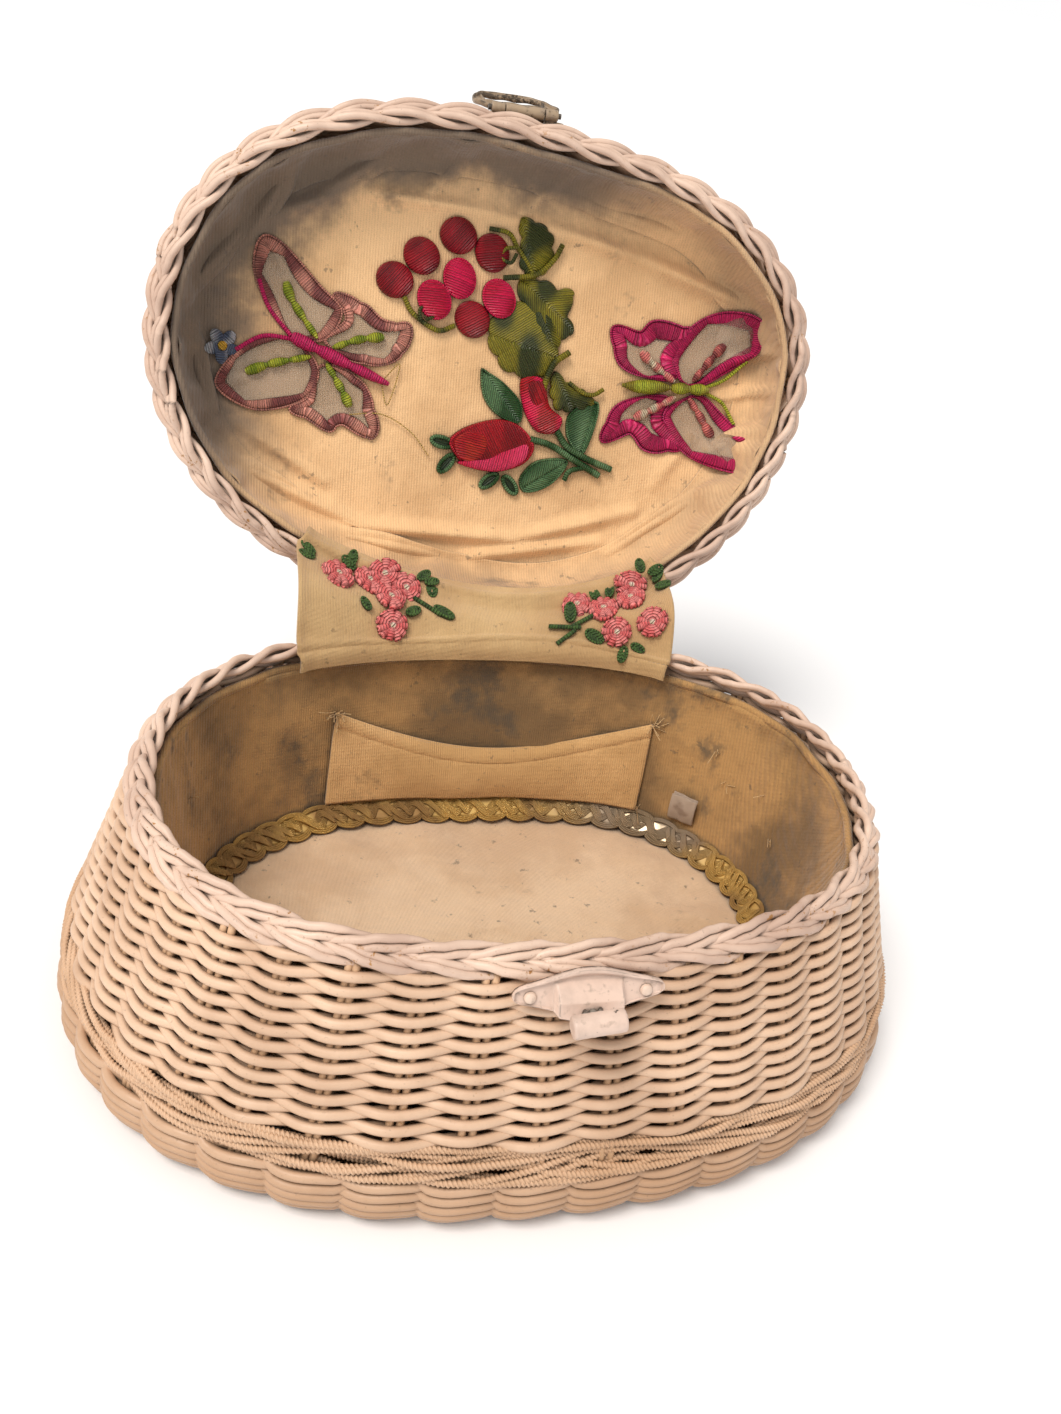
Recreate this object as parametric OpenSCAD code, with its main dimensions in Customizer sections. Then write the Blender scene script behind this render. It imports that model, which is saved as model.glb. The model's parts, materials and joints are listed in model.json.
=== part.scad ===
// Oval wicker sewing basket with a fabric lining and a hinged, domed lid.
// The origin is the middle of the resting plane: +X along the long side, the latch at -Y,
// the hinge at +Y and +Z up.  The lid is drawn open, leaning back on its stop.

/* [Basket] */
// Half length of the rim's centre line
rim_a = 128; // [110:1:150]
// Half width of the rim's centre line
rim_b = 93; // [85:1:110]
// Height of the rim's centre line above the resting plane
rim_h = 90; // [88:1:96]
// Radius of the plaited border on the basket and on the lid
border_r = 6; // [5:0.1:6]
// Number of upright stakes round the wall
stake_count = 41; // [31:2:45]
// Thickness of the woven wall
weave_t = 5.2; // [4:0.1:5.4]

/* [Lid] */
// Height of the lid's outside above its border
lid_h = 42; // [38:1:50]
// How far the open lid leans back from upright, in degrees
lid_lean = 18; // [14:1:20]

/* [Latch] */
// Length of the latch plate
latch_w = 45; // [43:1:47]
// How far the latch plate leans back to follow the wall, in degrees
latch_lean = 20; // [16:1:22]
// Length of the turn knob's barrel
knob_w = 15.6; // [14:0.2:18]
// Radius of the turn knob's barrel
knob_r = 3.4; // [3:0.1:3.8]
// Width of the hasp leaf
leaf_w = 37; // [36:1:38]
// Angle of the open hasp leaf from hanging straight down, in degrees
leaf_rest = 160; // [156:1:162]

/* [Hidden] */
steps = 48;               // flat facets round the oval
wicker = "#e2c4aa";
braid = "#cfbcae";
metal = "#e6d3bd";
canvas_cloth = "#b4966a";
card_grey = "#a09a90";

lid_z = rim_h + 2 * border_r + 0.4;          // centre line of the closed lid's border
hinge_y = rim_b + 3;                         // hinge line, between the two borders
hinge_z = rim_h + border_r + 0.2;
lid_turn = 90 + lid_lean;                    // from closed to open
panel_z = lid_z + 25;                        // inside face of the closed lid's panel

latch_pos = [2.5, -rim_b - 5.8, rim_h - 5];  // middle of the latch plate's back face
latch_roll = 2.5;                            // the plate is fixed a little crooked
plate_up = 1.3;                              // its outline reaches higher than its middle
box_w = 20;
box_low = -6.2;                              // bottom of the raised box, up the plate
box_edge = -0.5;                             // top edge of its front face
box_high = 4.2;                              // where its sloping top meets the plate
box_h = 5.5;                                 // depth of the raised box on the latch plate
neck_h = 3.4;                                // gap between the box and the barrel
rivet_x = 17.2;                              // latch rivets, from the middle
rivet_y = 0.4;
rivet_reach = 10.1;                          // how far they go through the weave
knob_y = -3.3;                               // the knob's stem, in the box's front face
knob_tilt = 5.5;                             // the knob rests a little off level
stem_r = 1.3;
stem_bore_r = 1.35;

pin_pos = [4.5, -rim_b - 2.7, lid_z + 5.8];  // hasp pin, with the lid closed
pin_r = 1;
pin_bore_r = 1.05;
leaf_l = 35;                                 // hasp leaf, from its pin to its tip
slot_at = 24.5;                              // middle of its slot from the pin
slot_w = 24.6;
slot_h = 13.4;
leaf_t = 2.2;                                // its depth, hollow side in
hasp_w = 34;                                 // hasp plate
hasp_up = 7.4;                               // middle of the hasp plate above the pin
hasp_rivet_x = 11;
hasp_back = 2.4;                             // back of the hasp plate behind the pin
hasp_t = 0.7;
knuckle_r = 2;

base_out = 7;                                // the woven base, outside the rim line
base_h = 6.4;                                // thickness of the woven base, flush with the foot

// Height above the resting plane, and how far the wall's outside stands out from the rim line
wall_out = [[0, 17.4], [4, 22.6], [12, 26.4], [31, 23.8], [63, 12.8], [80, 7.2], [90, 4.5]];
function out_at(z) = lookup(z, wall_out);

// The hand-woven ovals are a little squared and skewed
function base_warp(t) = 2.0 * sin(2 * t) - 2.8 * cos(4 * t);
function lid_warp(t) = 2.1 * sin(2 * t) - 2.3 * sin(3 * t) - 1.5 * cos(4 * t) - 1.4 * sin(4 * t);
function warp(t, lid) = lid ? lid_warp(t) : base_warp(t);

// A point of the oval: o outside the rim line, at height z, then drawn in by s
function oval_point(o, z, t, lid = false, s = 1) = [
  (rim_a + o + warp(t, lid)) * cos(t) * s,
  (rim_b + o + warp(t, lid)) * sin(t) * s,
  z
];

// Closed ring with the outline profile, a list of [o, z] going counterclockwise
module oval_ring(profile, lid = false) {
  m = len(profile);
  points = [
    for (i = [0 : steps - 1]) for (p = profile) oval_point(p[0], p[1], i * 360 / steps, lid)
  ];
  faces = [
    for (i = [0 : steps - 1]) for (j = [0 : m - 1])
      let (
        a = i * m + j,
        b = i * m + (j + 1) % m,
        c = ((i + 1) % steps) * m + (j + 1) % m,
        d = ((i + 1) % steps) * m + j
      )
      each [[a, b, c], [a, c, d]]
  ];
  polyhedron(points = points, faces = faces);
}

// Closed slab built of ovals [o, z, s], from its lowest oval to its top one
module oval_slab(rings, lid = false) {
  m = len(rings);
  points = [
    for (k = rings) for (i = [0 : steps - 1])
      oval_point(k[0], k[1], i * 360 / steps, lid, len(k) > 2 ? k[2] : 1)
  ];
  sides = [
    for (k = [0 : m - 2]) for (i = [0 : steps - 1])
      let (
        a = k * steps + i,
        b = k * steps + (i + 1) % steps,
        c = (k + 1) * steps + (i + 1) % steps,
        d = (k + 1) * steps + i
      )
      each [[a, c, b], [a, d, c]]
  ];
  bottom = [[for (i = [0 : steps - 1]) i]];
  top = [[for (i = [0 : steps - 1]) m * steps - 1 - i]];
  polyhedron(points = points, faces = concat(sides, bottom, top));
}

// Closed sheet over a grid of points, as thick as the vector thick
module sheet(grid, thick) {
  rows = len(grid);
  cols = len(grid[0]);
  half = rows * cols;
  points = concat(
    [for (row = grid) each row],
    [for (row = grid) for (p = row) p + thick]
  );
  near = [
    for (i = [0 : rows - 2]) for (j = [0 : cols - 2])
      let (a = i * cols + j, b = a + 1, c = a + cols + 1, d = a + cols)
      each [[a, b, c], [a, c, d]]
  ];
  far = [for (f = near) [f[2] + half, f[1] + half, f[0] + half]];
  edge = concat(
    [for (j = [0 : cols - 1]) j],
    [for (i = [1 : rows - 1]) i * cols + cols - 1],
    [for (j = [cols - 2 : -1 : 0]) (rows - 1) * cols + j],
    [for (i = [rows - 2 : -1 : 1]) i * cols]
  );
  rim = [
    for (k = [0 : len(edge) - 1])
      let (a = edge[k], b = edge[(k + 1) % len(edge)])
      each [[b, a, a + half], [b, a + half, b + half]]
  ];
  polyhedron(points = points, faces = concat(near, far, rim));
}

// Square reed that follows the points of a path, as wide as w
module reed(path, w) {
  n = len(path);
  points = [
    for (p = path) each [
      p + [-w / 2, -w / 2, 0], p + [w / 2, -w / 2, 0],
      p + [w / 2, w / 2, 0], p + [-w / 2, w / 2, 0]
    ]
  ];
  sides = [
    for (i = [0 : n - 2]) for (j = [0 : 3])
      let (a = i * 4 + j, b = i * 4 + (j + 1) % 4, c = b + 4, d = a + 4)
      each [[a, c, b], [a, d, c]]
  ];
  ends = [[0, 1, 2, 3], [n * 4 - 1, n * 4 - 2, n * 4 - 3, n * 4 - 4]];
  polyhedron(points = points, faces = concat(sides, ends));
}

// Turns the closed lid's pieces to the open place
function opened(p) =
  let (y = p[1] - hinge_y, z = p[2] - hinge_z)
  [
    p[0],
    hinge_y + y * cos(lid_turn) + z * sin(lid_turn),
    hinge_z - y * sin(lid_turn) + z * cos(lid_turn)
  ];
module open_lid() {
  translate([0, hinge_y, hinge_z]) rotate([-lid_turn, 0, 0]) translate([0, -hinge_y, -hinge_z])
    children();
}

// Latch pieces: +Z out of the wall, +Y up it
module on_latch() {
  translate(latch_pos) rotate([90 - latch_lean, 0, 0]) rotate([0, 0, latch_roll]) children();
}

// Pieces sewn to the lid's panel: drawn on the XY plane and standing up from the panel's face
module on_panel(x, y, turn = 0, gap = 0.15) {
  open_lid() translate([x, y, panel_z - gap]) rotate([180, 0, turn]) children();
}

// ---- Basket: woven pieces ----

module base_sticks() {
  color(wicker) for (i = [-3 : 3]) {
    translate([-100, i * 15 - 1.3, base_h / 2 - 0.8]) cube([200, 2.6, 1.6]);
  }
}

module base_weave() {
  color(wicker) linear_extrude(height = base_h) polygon([
    for (i = [0 : steps - 1]) let (p = oval_point(base_out, 0, i * 360 / steps)) [p[0], p[1]]
  ]);
}

module wall_stakes() {
  heights = [3.5, 12, 31, 63, 86];
  color(wicker) for (k = [0 : stake_count - 1]) {
    reed([for (z = heights) oval_point(out_at(z) - weave_t / 2, z, (k + 0.5) * 360 / stake_count)], 2.4);
  }
}

module wall_weavers() {
  heights = [34.6, 48, 63, 80, 83.2];
  outside = [for (z = heights) [out_at(z), z]];
  inside = [for (i = [len(heights) - 1 : -1 : 0]) [out_at(heights[i]) - weave_t, heights[i]]];
  color(wicker) oval_ring(concat(outside, inside));
}

module cord_band() {
  color(wicker) oval_ring([
    [out_at(21.2), 21.2], [out_at(28), 28], [out_at(34), 34],
    [out_at(34) - weave_t, 34], [out_at(21.2) - weave_t, 21.2]
  ]);
}

module foot_weavers() {
  heights = [0, 4, 12, 20.6];
  outside = [for (z = heights) [out_at(z), z]];
  inside = [[out_at(20.6) - weave_t, 20.6], [out_at(7) - weave_t, 7], [12.4, 0]];
  color(wicker) oval_ring(concat(outside, inside));
}

module border_ring(z, lid) {
  ring = [for (i = [0 : 7]) border_r * [cos(i * 45 + 22.5), sin(i * 45 + 22.5)] + [0, z]];
  oval_ring(ring, lid);
}

module rim_border() {
  color(braid) border_ring(rim_h, false);
}

// ---- Basket: lining ----

module wall_lining() {
  color(canvas_cloth) oval_ring([
    [-12.8, 9.2], [-12, 18], [-6, 50], [-1.9, 79], [-2.4, 83],
    [-4.6, 83.2], [-5.2, 79], [-7.2, 50], [-13.2, 18], [-14, 9.2]
  ]);
}

module floor_card() {
  color(card_grey) oval_slab([[-15, base_h + 0.2], [-15, base_h + 2.2]]);
}

module floor_pad() {
  color("#d7c3aa") oval_slab([[-15.4, base_h + 2.4], [-14.6, 11], [-15.4, 14.6], [-22, 15.6]]);
}

module gold_gimp() {
  color("#b08a3c") oval_ring([[-14.4, 16.6], [-13.8, 22.6], [-15, 23.4], [-22.6, 17.4], [-22, 16.2]]);
}

// The pocket's top edge hangs between its two sewn ends
module pocket() {
  start = 118;
  end = 53;
  parts = 14;
  low = 24.4;
  grid = [
    for (k = [0 : 3]) [
      for (i = [0 : parts])
        let (
          t = start + (end - start) * i / parts,
          top = 45 + 18 * pow(2 * i / parts - 1, 2),
          z = low + (top - low) * k / 3,
          lining = lookup(z, [[18, -13.2], [50, -7.2], [79, -5.2]])
        )
        oval_point(lining - 2.6 - (k == 0 ? 0 : 2.4 * sin(180 * i / parts)), z, t)
    ]
  ];
  color(canvas_cloth) sheet(grid, [0, -1, 0.1]);
}

module care_tag() {
  color("white") translate([78, 62.4, 33]) rotate([84, 0, -44]) linear_extrude(height = 0.4)
    square([11, 13], center = true);
}

// ---- Latch on the basket ----

function plate_outline(w, low, high, n = 12) = [
  for (s = [1, -1]) for (i = [-n : n])
    let (x = i / n)
    [s * x * w / 2, s * (low + (high - low) * pow(cos(90 * x), 2)) * sqrt(max(0.06, 1 - pow(abs(x), 14)))]
];

module plate_shape(w, low, high) {
  rotate(180) polygon(plate_outline(w, low, high));
}

// Solid w wide along X, with the side outline, a list of [y, z]
module along_x(w, outline) {
  rotate([90, 0, 90]) linear_extrude(height = w, center = true) polygon(outline);
}

module latch_plate() {
  wall = 0.9;
  color(metal) on_latch() difference() {
    union() {
      translate([0, plate_up, 0]) linear_extrude(height = 1) plate_shape(latch_w, 3.1, 7.3);
      along_x(box_w, [[box_low, 0.5], [box_high, 0.5], [box_high, 1], [box_edge, box_h], [box_low, box_h]]);
    }
    along_x(box_w - 2 * wall, [
      [box_low + wall, -1], [box_high - 1.5, -1], [box_high - 1.5, 1],
      [box_edge - 0.4, box_h - 1], [box_low + wall, box_h - 1]
    ]);
    translate([0, knob_y, box_h - 2]) cylinder(r = stem_bore_r, h = 4, $fn = 48);
    for (x = [-rivet_x, rivet_x]) translate([x, rivet_y, -1]) cylinder(r = 1.15, h = 4, $fn = 48);
  }
}

// Copies of a piece drawn on the plate, one at each rivet
module at_rivets() {
  for (x = [-rivet_x, rivet_x]) on_latch() translate([x, rivet_y, 0]) children();
}

module latch_rivets() {
  color(metal) at_rivets() {
    translate([0, 0, -rivet_reach]) cylinder(r = 1.1, h = rivet_reach + 1.2, $fn = 48);
    translate([0, 0, 1.05]) rotate_extrude($fn = 48) polygon([[0, 0], [1.9, 0], [1.6, 0.7], [0.9, 1.15], [0, 1.3]]);
    translate([0, 0, -rivet_reach - 0.52]) cylinder(r = 1.7, h = 0.5, $fn = 48);
    translate([0, 0, -rivet_reach - 0.1]) cylinder(r = 1.1, h = 1, $fn = 48);
  }
}

module latch_washers() {
  color("#8d8a84") at_rivets() translate([0, 0, -rivet_reach]) difference() {
    cylinder(r = 2.8, h = 0.6, $fn = 48);
    translate([0, 0, -1]) cylinder(r = 1.12, h = 3, $fn = 48);
  }
}

module turn_knob() {
  barrel_z = box_h + neck_h + knob_r;
  color(metal) on_latch() translate([0, knob_y, 0]) rotate([0, 0, knob_tilt]) {
    difference() {
      translate([-knob_w / 2, 0, barrel_z]) rotate([0, 90, 0]) rotate_extrude($fn = 64)
        polygon([
          [0, 0], [knob_r - 0.6, 0], [knob_r, 0.6], [knob_r, knob_w - 0.6],
          [knob_r - 0.6, knob_w], [0, knob_w]
        ]);
      translate([0, 0, box_h]) cylinder(r = stem_r, h = neck_h + knob_r, $fn = 48);
    }
    translate([0, 0, box_h - 2.6]) cylinder(r = stem_r, h = neck_h + knob_r + 2.6, $fn = 48);
    translate([0, 0, box_h + 0.1]) cylinder(r = 1.9, h = neck_h + 0.8, $fn = 48);
  }
}

module knob_clip() {
  color("#8d8a84") on_latch() translate([0, knob_y, box_h - 2.2]) difference() {
    cylinder(r = 1.9, h = 0.7, $fn = 48);
    translate([0, 0, -1]) cylinder(r = 1.32, h = 3, $fn = 48);
  }
}

// ---- Fabric hinge and its flowers ----

strip_half = 75;           // half width of the hinge strip, along X
// Station k of the strip at angle t: inside the basket's border, over it, then up the lid's border
function strip_point(k, t) =
  let (
    side = pow(cos(t) * rim_a / strip_half, 2),
    over = oval_point(-5.4, rim_h + 4.8, t),
    under = opened(oval_point(-2.6, lid_z - 6.7, t, true))
  )
  k == 0 ? oval_point(-8.2, rim_h - 3.6, t) :
  k == 1 ? oval_point(-8, rim_h + 1, t) :
  k == 2 ? over :
  k == 3 ? (over + under) / 2 + [0, -0.6, 0.8] * (1 + 6 * side) :
  k == 4 ? under :
  k == 5 ? opened(oval_point(-6.8, lid_z - 4.6, t, true)) :
  opened(oval_point(-9.6, lid_z - 0.6, t, true));

module hinge_strip() {
  start = acos(-strip_half / rim_a);
  end = acos(strip_half / rim_a);
  parts = 16;
  grid = [
    for (k = [0 : 6]) [for (i = [0 : parts]) strip_point(k, start + (end - start) * i / parts)]
  ];
  color("#dcbc88") sheet(grid, [0, -0.75, 0.75]);
}

// Flower disc at a place on the strip, facing out of it
module flower(x, t_y, z, r) {
  translate([x, t_y, z]) rotate([52, 0, 0]) cylinder(r = r, h = 2.2, $fn = 40);
}

module sprig_left() {
  color("#e86e6e") {
    flower(-38, 82.5, 106.5, 5.2);
    flower(-51, 74.5, 103, 5.2);
    flower(-34, 74, 96.5, 5.2);
  }
}

module sprig_right() {
  color("#e86e6e") {
    flower(39, 82.5, 108.5, 5.2);
    flower(54, 80, 112, 5.2);
    flower(50, 70, 98.5, 5.2);
  }
}

// ---- Lid: woven pieces, drawn closed and then opened ----

module lid_sticks() {
  color(wicker) open_lid() for (i = [-2 : 2]) {
    translate([-80, i * 15 - 1.3, lid_z + lid_h - 6.2]) cube([160, 2.6, 1.4]);
  }
}

module lid_crown() {
  top = lid_z + lid_h;
  color(wicker) open_lid() oval_slab([
    [-22, top - 7.6], [-12, top - 7.8], [-10, top - 6], [-14, top - 3.4], [0, top - 1.6, 0.7], [0, top, 0.3]
  ], true);
}

module lid_stakes() {
  color(wicker) open_lid() for (k = [0 : stake_count - 1]) {
    t = (k + 0.5) * 360 / stake_count;
    reed([
      oval_point(0, lid_z + 3, t, true), oval_point(1.2, lid_z + 14, t, true),
      oval_point(-3, lid_z + 26, t, true), oval_point(-14, lid_z + lid_h - 6, t, true)
    ], 2.2);
  }
}

module lid_weavers() {
  color(wicker) open_lid() oval_ring([
    [2.8, lid_z + 6.8], [3.4, lid_z + 14], [-0.4, lid_z + 26], [-7.4, lid_z + 33.6],
    [-11.4, lid_z + 33.6], [-5.4, lid_z + 25], [-1.4, lid_z + 14], [-2, lid_z + 6.8]
  ], true);
}

module lid_border() {
  color(braid) open_lid() border_ring(lid_z, true);
}

// ---- Lid: lining and sewn pieces ----

module lid_lining() {
  color(canvas_cloth) open_lid() oval_ring([
    [-6.9, lid_z - 0.4], [-6.6, lid_z + 5], [-9, lid_z + 16], [-13.6, lid_z + 26],
    [-15, lid_z + 26], [-10.4, lid_z + 16], [-8.2, lid_z + 5], [-8.2, lid_z - 0.4]
  ], true);
}

module lid_card() {
  color(card_grey) open_lid() oval_slab([[-18, panel_z + 3], [-18, panel_z + 5]], true);
}

module lid_panel() {
  color("#cdb289") open_lid()
    oval_slab([[-18, panel_z], [-16.4, panel_z + 1.2], [-17, panel_z + 2.8]], true);
}

module wing(x, y, turn, long, wide, h) {
  translate([x, y, 0]) rotate(turn) linear_extrude(height = h) scale([1, wide / long])
    circle(r = long / 2, $fn = 48);
}

// Butterfly with its body along X: four wings and a body
module butterfly(long, wide, h) {
  for (s = [-1, 1]) {
    wing(-0.2 * long, s * 0.5 * wide, s * 115, 0.95 * wide, 0.45 * long, h);
    wing(0.24 * long, s * 0.46 * wide, s * 62, 0.85 * wide, 0.42 * long, h);
  }
  linear_extrude(height = h + 1.6) scale([1, 0.22]) circle(r = 0.36 * long, $fn = 48);
}

module pale_butterfly() {
  color("#b87f86") on_panel(-62, -4, -21) butterfly(56, 34, 1);
}

module magenta_butterfly() {
  color("#af1e5a") on_panel(80, 0, 0) butterfly(56, 34, 1);
}

module grape_bunch() {
  grape_r = 6.8;
  places = [[-13.6, -51], [-27.6, -44], [-37.6, -31], [1, -46], [-6, -20], [-12, -35], [-23, -28], [4, -32.5]];
  color("#8c0a28") for (i = [0 : 7]) {
    on_panel(places[i][0], places[i][1], 0, 0.3 + 0.02 * i) intersection() {
      translate([0, 0, -1]) sphere(r = grape_r, $fn = 48);
      translate([0, 0, 10]) cube(20, center = true);
    }
  }
}

module leaf_flat(x, y, turn, long, wide, h) {
  on_panel(x, y, turn) linear_extrude(height = h) scale([1, wide / long]) circle(r = long / 2, $fn = 40);
}

module olive_leaves() {
  color("#82822c") {
    leaf_flat(17, -51, 40, 22, 9, 0.9);
    leaf_flat(24, -27, 40, 26, 11, 0.9);
    leaf_flat(15, -10, 60, 26, 10, 0.9);
    leaf_flat(38, -2, 50, 16, 8, 0.9);
  }
}

module rose_sprig() {
  color("#a0182c") {
    on_panel(5.5, 29, 0) linear_extrude(height = 4) scale([1, 0.62]) circle(r = 17, $fn = 48);
    on_panel(27, 14.5, 60) linear_extrude(height = 3) scale([1, 0.6]) circle(r = 9, $fn = 48);
    leaf_flat(-1, 9.5, 20, 20, 9, 0.9);
    leaf_flat(43, 17, 65, 22, 10, 0.9);
    leaf_flat(31, 42, 10, 22, 9, 0.9);
  }
}

module blue_flower() {
  color("#5f6e86") on_panel(-103, -1, 0) cylinder(r = 6.5, h = 1.2, $fn = 48);
}

// ---- Hasp on the lid, drawn closed and then opened with the lid ----

module hasp_place(turn = 0) {
  open_lid() translate(pin_pos) rotate([-turn, 0, 0]) children();
}

module hasp_plate() {
  knuckle_x = 10.3;
  color(metal) hasp_place() difference() {
    union() {
      translate([0, hasp_back, hasp_up]) rotate([90, 0, 0]) linear_extrude(height = hasp_t)
        plate_shape(hasp_w, 3, 5.6);
      for (s = [-1, 1]) translate([s * knuckle_x, 0, 0]) {
        rotate([0, 90, 0]) cylinder(r = knuckle_r, h = 5, center = true, $fn = 48);
        translate([-2.5, 1, 0]) cube([5, 1, 2]);
        translate([-2.5, hasp_back - hasp_t, 1]) cube([5, hasp_t, 3]);
      }
    }
    rotate([0, 90, 0]) cylinder(r = pin_bore_r, h = 60, center = true, $fn = 48);
    for (s = [-1, 1]) translate([s * hasp_rivet_x, 0, hasp_up]) rotate([-90, 0, 0])
      cylinder(r = 0.95, h = 5, $fn = 48);
  }
}

module hasp_rivets() {
  color(metal) hasp_place() for (s = [-1, 1]) translate([s * hasp_rivet_x, hasp_back - hasp_t - 0.05, hasp_up]) {
    rotate([-90, 0, 0]) cylinder(r = 0.9, h = 6, $fn = 48);
    rotate([90, 0, 0]) rotate_extrude($fn = 48) polygon([[0, 0], [1.6, 0], [1.2, 0.5], [0, 0.7]]);
  }
}

module hasp_pin() {
  color("#8d8a84") hasp_place() rotate([0, 90, 0]) cylinder(r = pin_r, h = 28, center = true, $fn = 48);
}

module leaf_outline(inset) {
  half_w = leaf_w / 2 - inset;
  tip = leaf_l - inset;
  polygon([
    [-half_w, -17], [-half_w + 9.5, -4.6 - inset], [half_w - 9.5, -4.6 - inset], [half_w, -17],
    [half_w - 7, -tip], [-half_w + 7, -tip]
  ]);
}

module hasp_leaf() {
  color(metal) hasp_place(leaf_rest) difference() {
    union() {
      translate([0, -0.4, 0]) rotate([90, 0, 0]) difference() {
        linear_extrude(height = leaf_t) leaf_outline(0);
        translate([0, 0, -1]) linear_extrude(height = leaf_t + 0.1) leaf_outline(1.2);
        translate([0, -slot_at, -1]) linear_extrude(height = 6) square([slot_w, slot_h], center = true);
      }
      rotate([0, 90, 0]) cylinder(r = knuckle_r, h = 15, center = true, $fn = 48);
      translate([-7.5, -2, -5.6]) cube([15, 1, 5.6]);
    }
    rotate([0, 90, 0]) cylinder(r = pin_bore_r, h = 60, center = true, $fn = 48);
  }
}

base_sticks();
base_weave();
wall_stakes();
wall_weavers();
cord_band();
foot_weavers();
rim_border();
wall_lining();
floor_card();
floor_pad();
gold_gimp();
pocket();
care_tag();
latch_plate();
latch_rivets();
latch_washers();
turn_knob();
knob_clip();
hinge_strip();
sprig_left();
sprig_right();
lid_sticks();
lid_crown();
lid_stakes();
lid_weavers();
lid_border();
lid_lining();
lid_card();
lid_panel();
pale_butterfly();
magenta_butterfly();
grape_bunch();
olive_leaves();
rose_sprig();
blue_flower();
hasp_plate();
hasp_rivets();
hasp_pin();
hasp_leaf();
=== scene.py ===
import json
import math
import bmesh
import bpy
import numpy as np
from mathutils import Matrix, Vector


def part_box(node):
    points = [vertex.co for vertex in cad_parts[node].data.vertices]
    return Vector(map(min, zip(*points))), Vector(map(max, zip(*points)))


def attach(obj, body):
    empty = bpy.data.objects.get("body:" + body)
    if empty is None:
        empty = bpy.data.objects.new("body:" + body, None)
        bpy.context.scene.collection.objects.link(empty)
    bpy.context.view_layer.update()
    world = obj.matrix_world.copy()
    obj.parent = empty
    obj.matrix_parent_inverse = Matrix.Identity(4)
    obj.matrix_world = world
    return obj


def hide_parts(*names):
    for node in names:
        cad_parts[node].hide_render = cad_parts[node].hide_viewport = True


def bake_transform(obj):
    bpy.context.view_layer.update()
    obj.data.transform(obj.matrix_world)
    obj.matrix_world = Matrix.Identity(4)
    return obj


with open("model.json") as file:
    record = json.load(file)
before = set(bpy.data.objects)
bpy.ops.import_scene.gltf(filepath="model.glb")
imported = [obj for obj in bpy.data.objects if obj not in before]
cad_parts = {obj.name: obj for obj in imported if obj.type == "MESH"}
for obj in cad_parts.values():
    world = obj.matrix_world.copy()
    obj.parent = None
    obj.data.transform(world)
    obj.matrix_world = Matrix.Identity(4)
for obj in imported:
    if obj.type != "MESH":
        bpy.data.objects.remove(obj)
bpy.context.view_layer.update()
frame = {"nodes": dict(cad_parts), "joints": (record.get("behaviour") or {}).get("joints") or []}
MM = 0.001                      # the script works in millimetres and builds meshes in metres
RANDOM = np.random.default_rng(7)

# ---------------------------------------------------------------- dimensions, millimetres
STAKES = 41                     # upright stakes, on the basket and on the lid
REED_R = 1.66                   # radius of a wall reed
BORDER_OUT = 6.0                # the CAD border's radius
RIM_A, RIM_B = 128.0, 93.0      # half length and width of the rim's centre line
RIM_H = (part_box("rim_border")[0].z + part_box("rim_border")[1].z) / 2 / MM
LID_HINGE = next(j for j in frame["joints"] if j["name"] == "lid_hinge")
HASP_HINGE = next(j for j in frame["joints"] if j["name"] == "hasp_hinge")
KNOB_TURN = next(j for j in frame["joints"] if j["name"] == "knob_turn")
HINGE_Y, HINGE_Z = LID_HINGE["pos_m"][1] / MM, LID_HINGE["pos_m"][2] / MM
LID_TURN = math.radians(LID_HINGE["range_deg"][1])
LID_Z = RIM_H + 2 * BORDER_OUT + 0.4      # centre line of the closed lid's border
LID_H = 42.0                              # crown of the closed lid above that line
PANEL_Z = LID_Z + 25.0                    # the lid panel's inside face, closed
TAU = 2 * math.pi

# Height above the floor, and how far the wall's outside stands out from the rim line
WALL_OUT = [(0, 17.4), (4, 22.6), (12, 26.4), (31, 23.8), (63, 12.8), (80, 7.2), (90, 4.5)]


def smooth_curve(points, blur=7, steps=400):
    """A soft curve through (x, y) points, as a function."""
    xs, ys = np.array(points, float).T
    x = np.linspace(xs[0], xs[-1], steps)
    y = np.interp(x, xs, ys)
    pad = int(steps * blur / (xs[-1] - xs[0]) / 2)
    padded = np.concatenate([2 * y[0] - y[pad:0:-1], y, 2 * y[-1] - y[-2:-pad - 2:-1]])
    kernel = np.hanning(2 * pad + 1)
    y = np.convolve(padded, kernel / kernel.sum(), "valid")
    return lambda v: np.interp(v, x, y)


out_at = smooth_curve(WALL_OUT)


def warp(t, lid=False):
    """The hand-woven ovals are a little squared and skewed."""
    if lid:
        return 2.1 * np.sin(2 * t) - 2.3 * np.sin(3 * t) - 1.5 * np.cos(4 * t) - 1.4 * np.sin(4 * t)
    return 2.0 * np.sin(2 * t) - 2.8 * np.cos(4 * t)


def oval(o, z, t, lid=False, s=1.0):
    """Points of the oval at angle t: o outside the rim line, at height z, drawn in by s."""
    o, z, t, s = np.broadcast_arrays(np.asarray(o, float), z, t, s)
    r = o + warp(t, lid)
    return np.stack([(RIM_A + r) * np.cos(t) * s, (RIM_B + r) * np.sin(t) * s, z], -1)


def opened(p):
    """Turns points of the closed lid to where the open lid rests."""
    p = np.asarray(p, float)
    y, z = p[..., 1] - HINGE_Y, p[..., 2] - HINGE_Z
    c, s = math.cos(LID_TURN), math.sin(LID_TURN)
    return np.stack([p[..., 0], HINGE_Y + y * c + z * s, HINGE_Z - y * s + z * c], -1)


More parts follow.
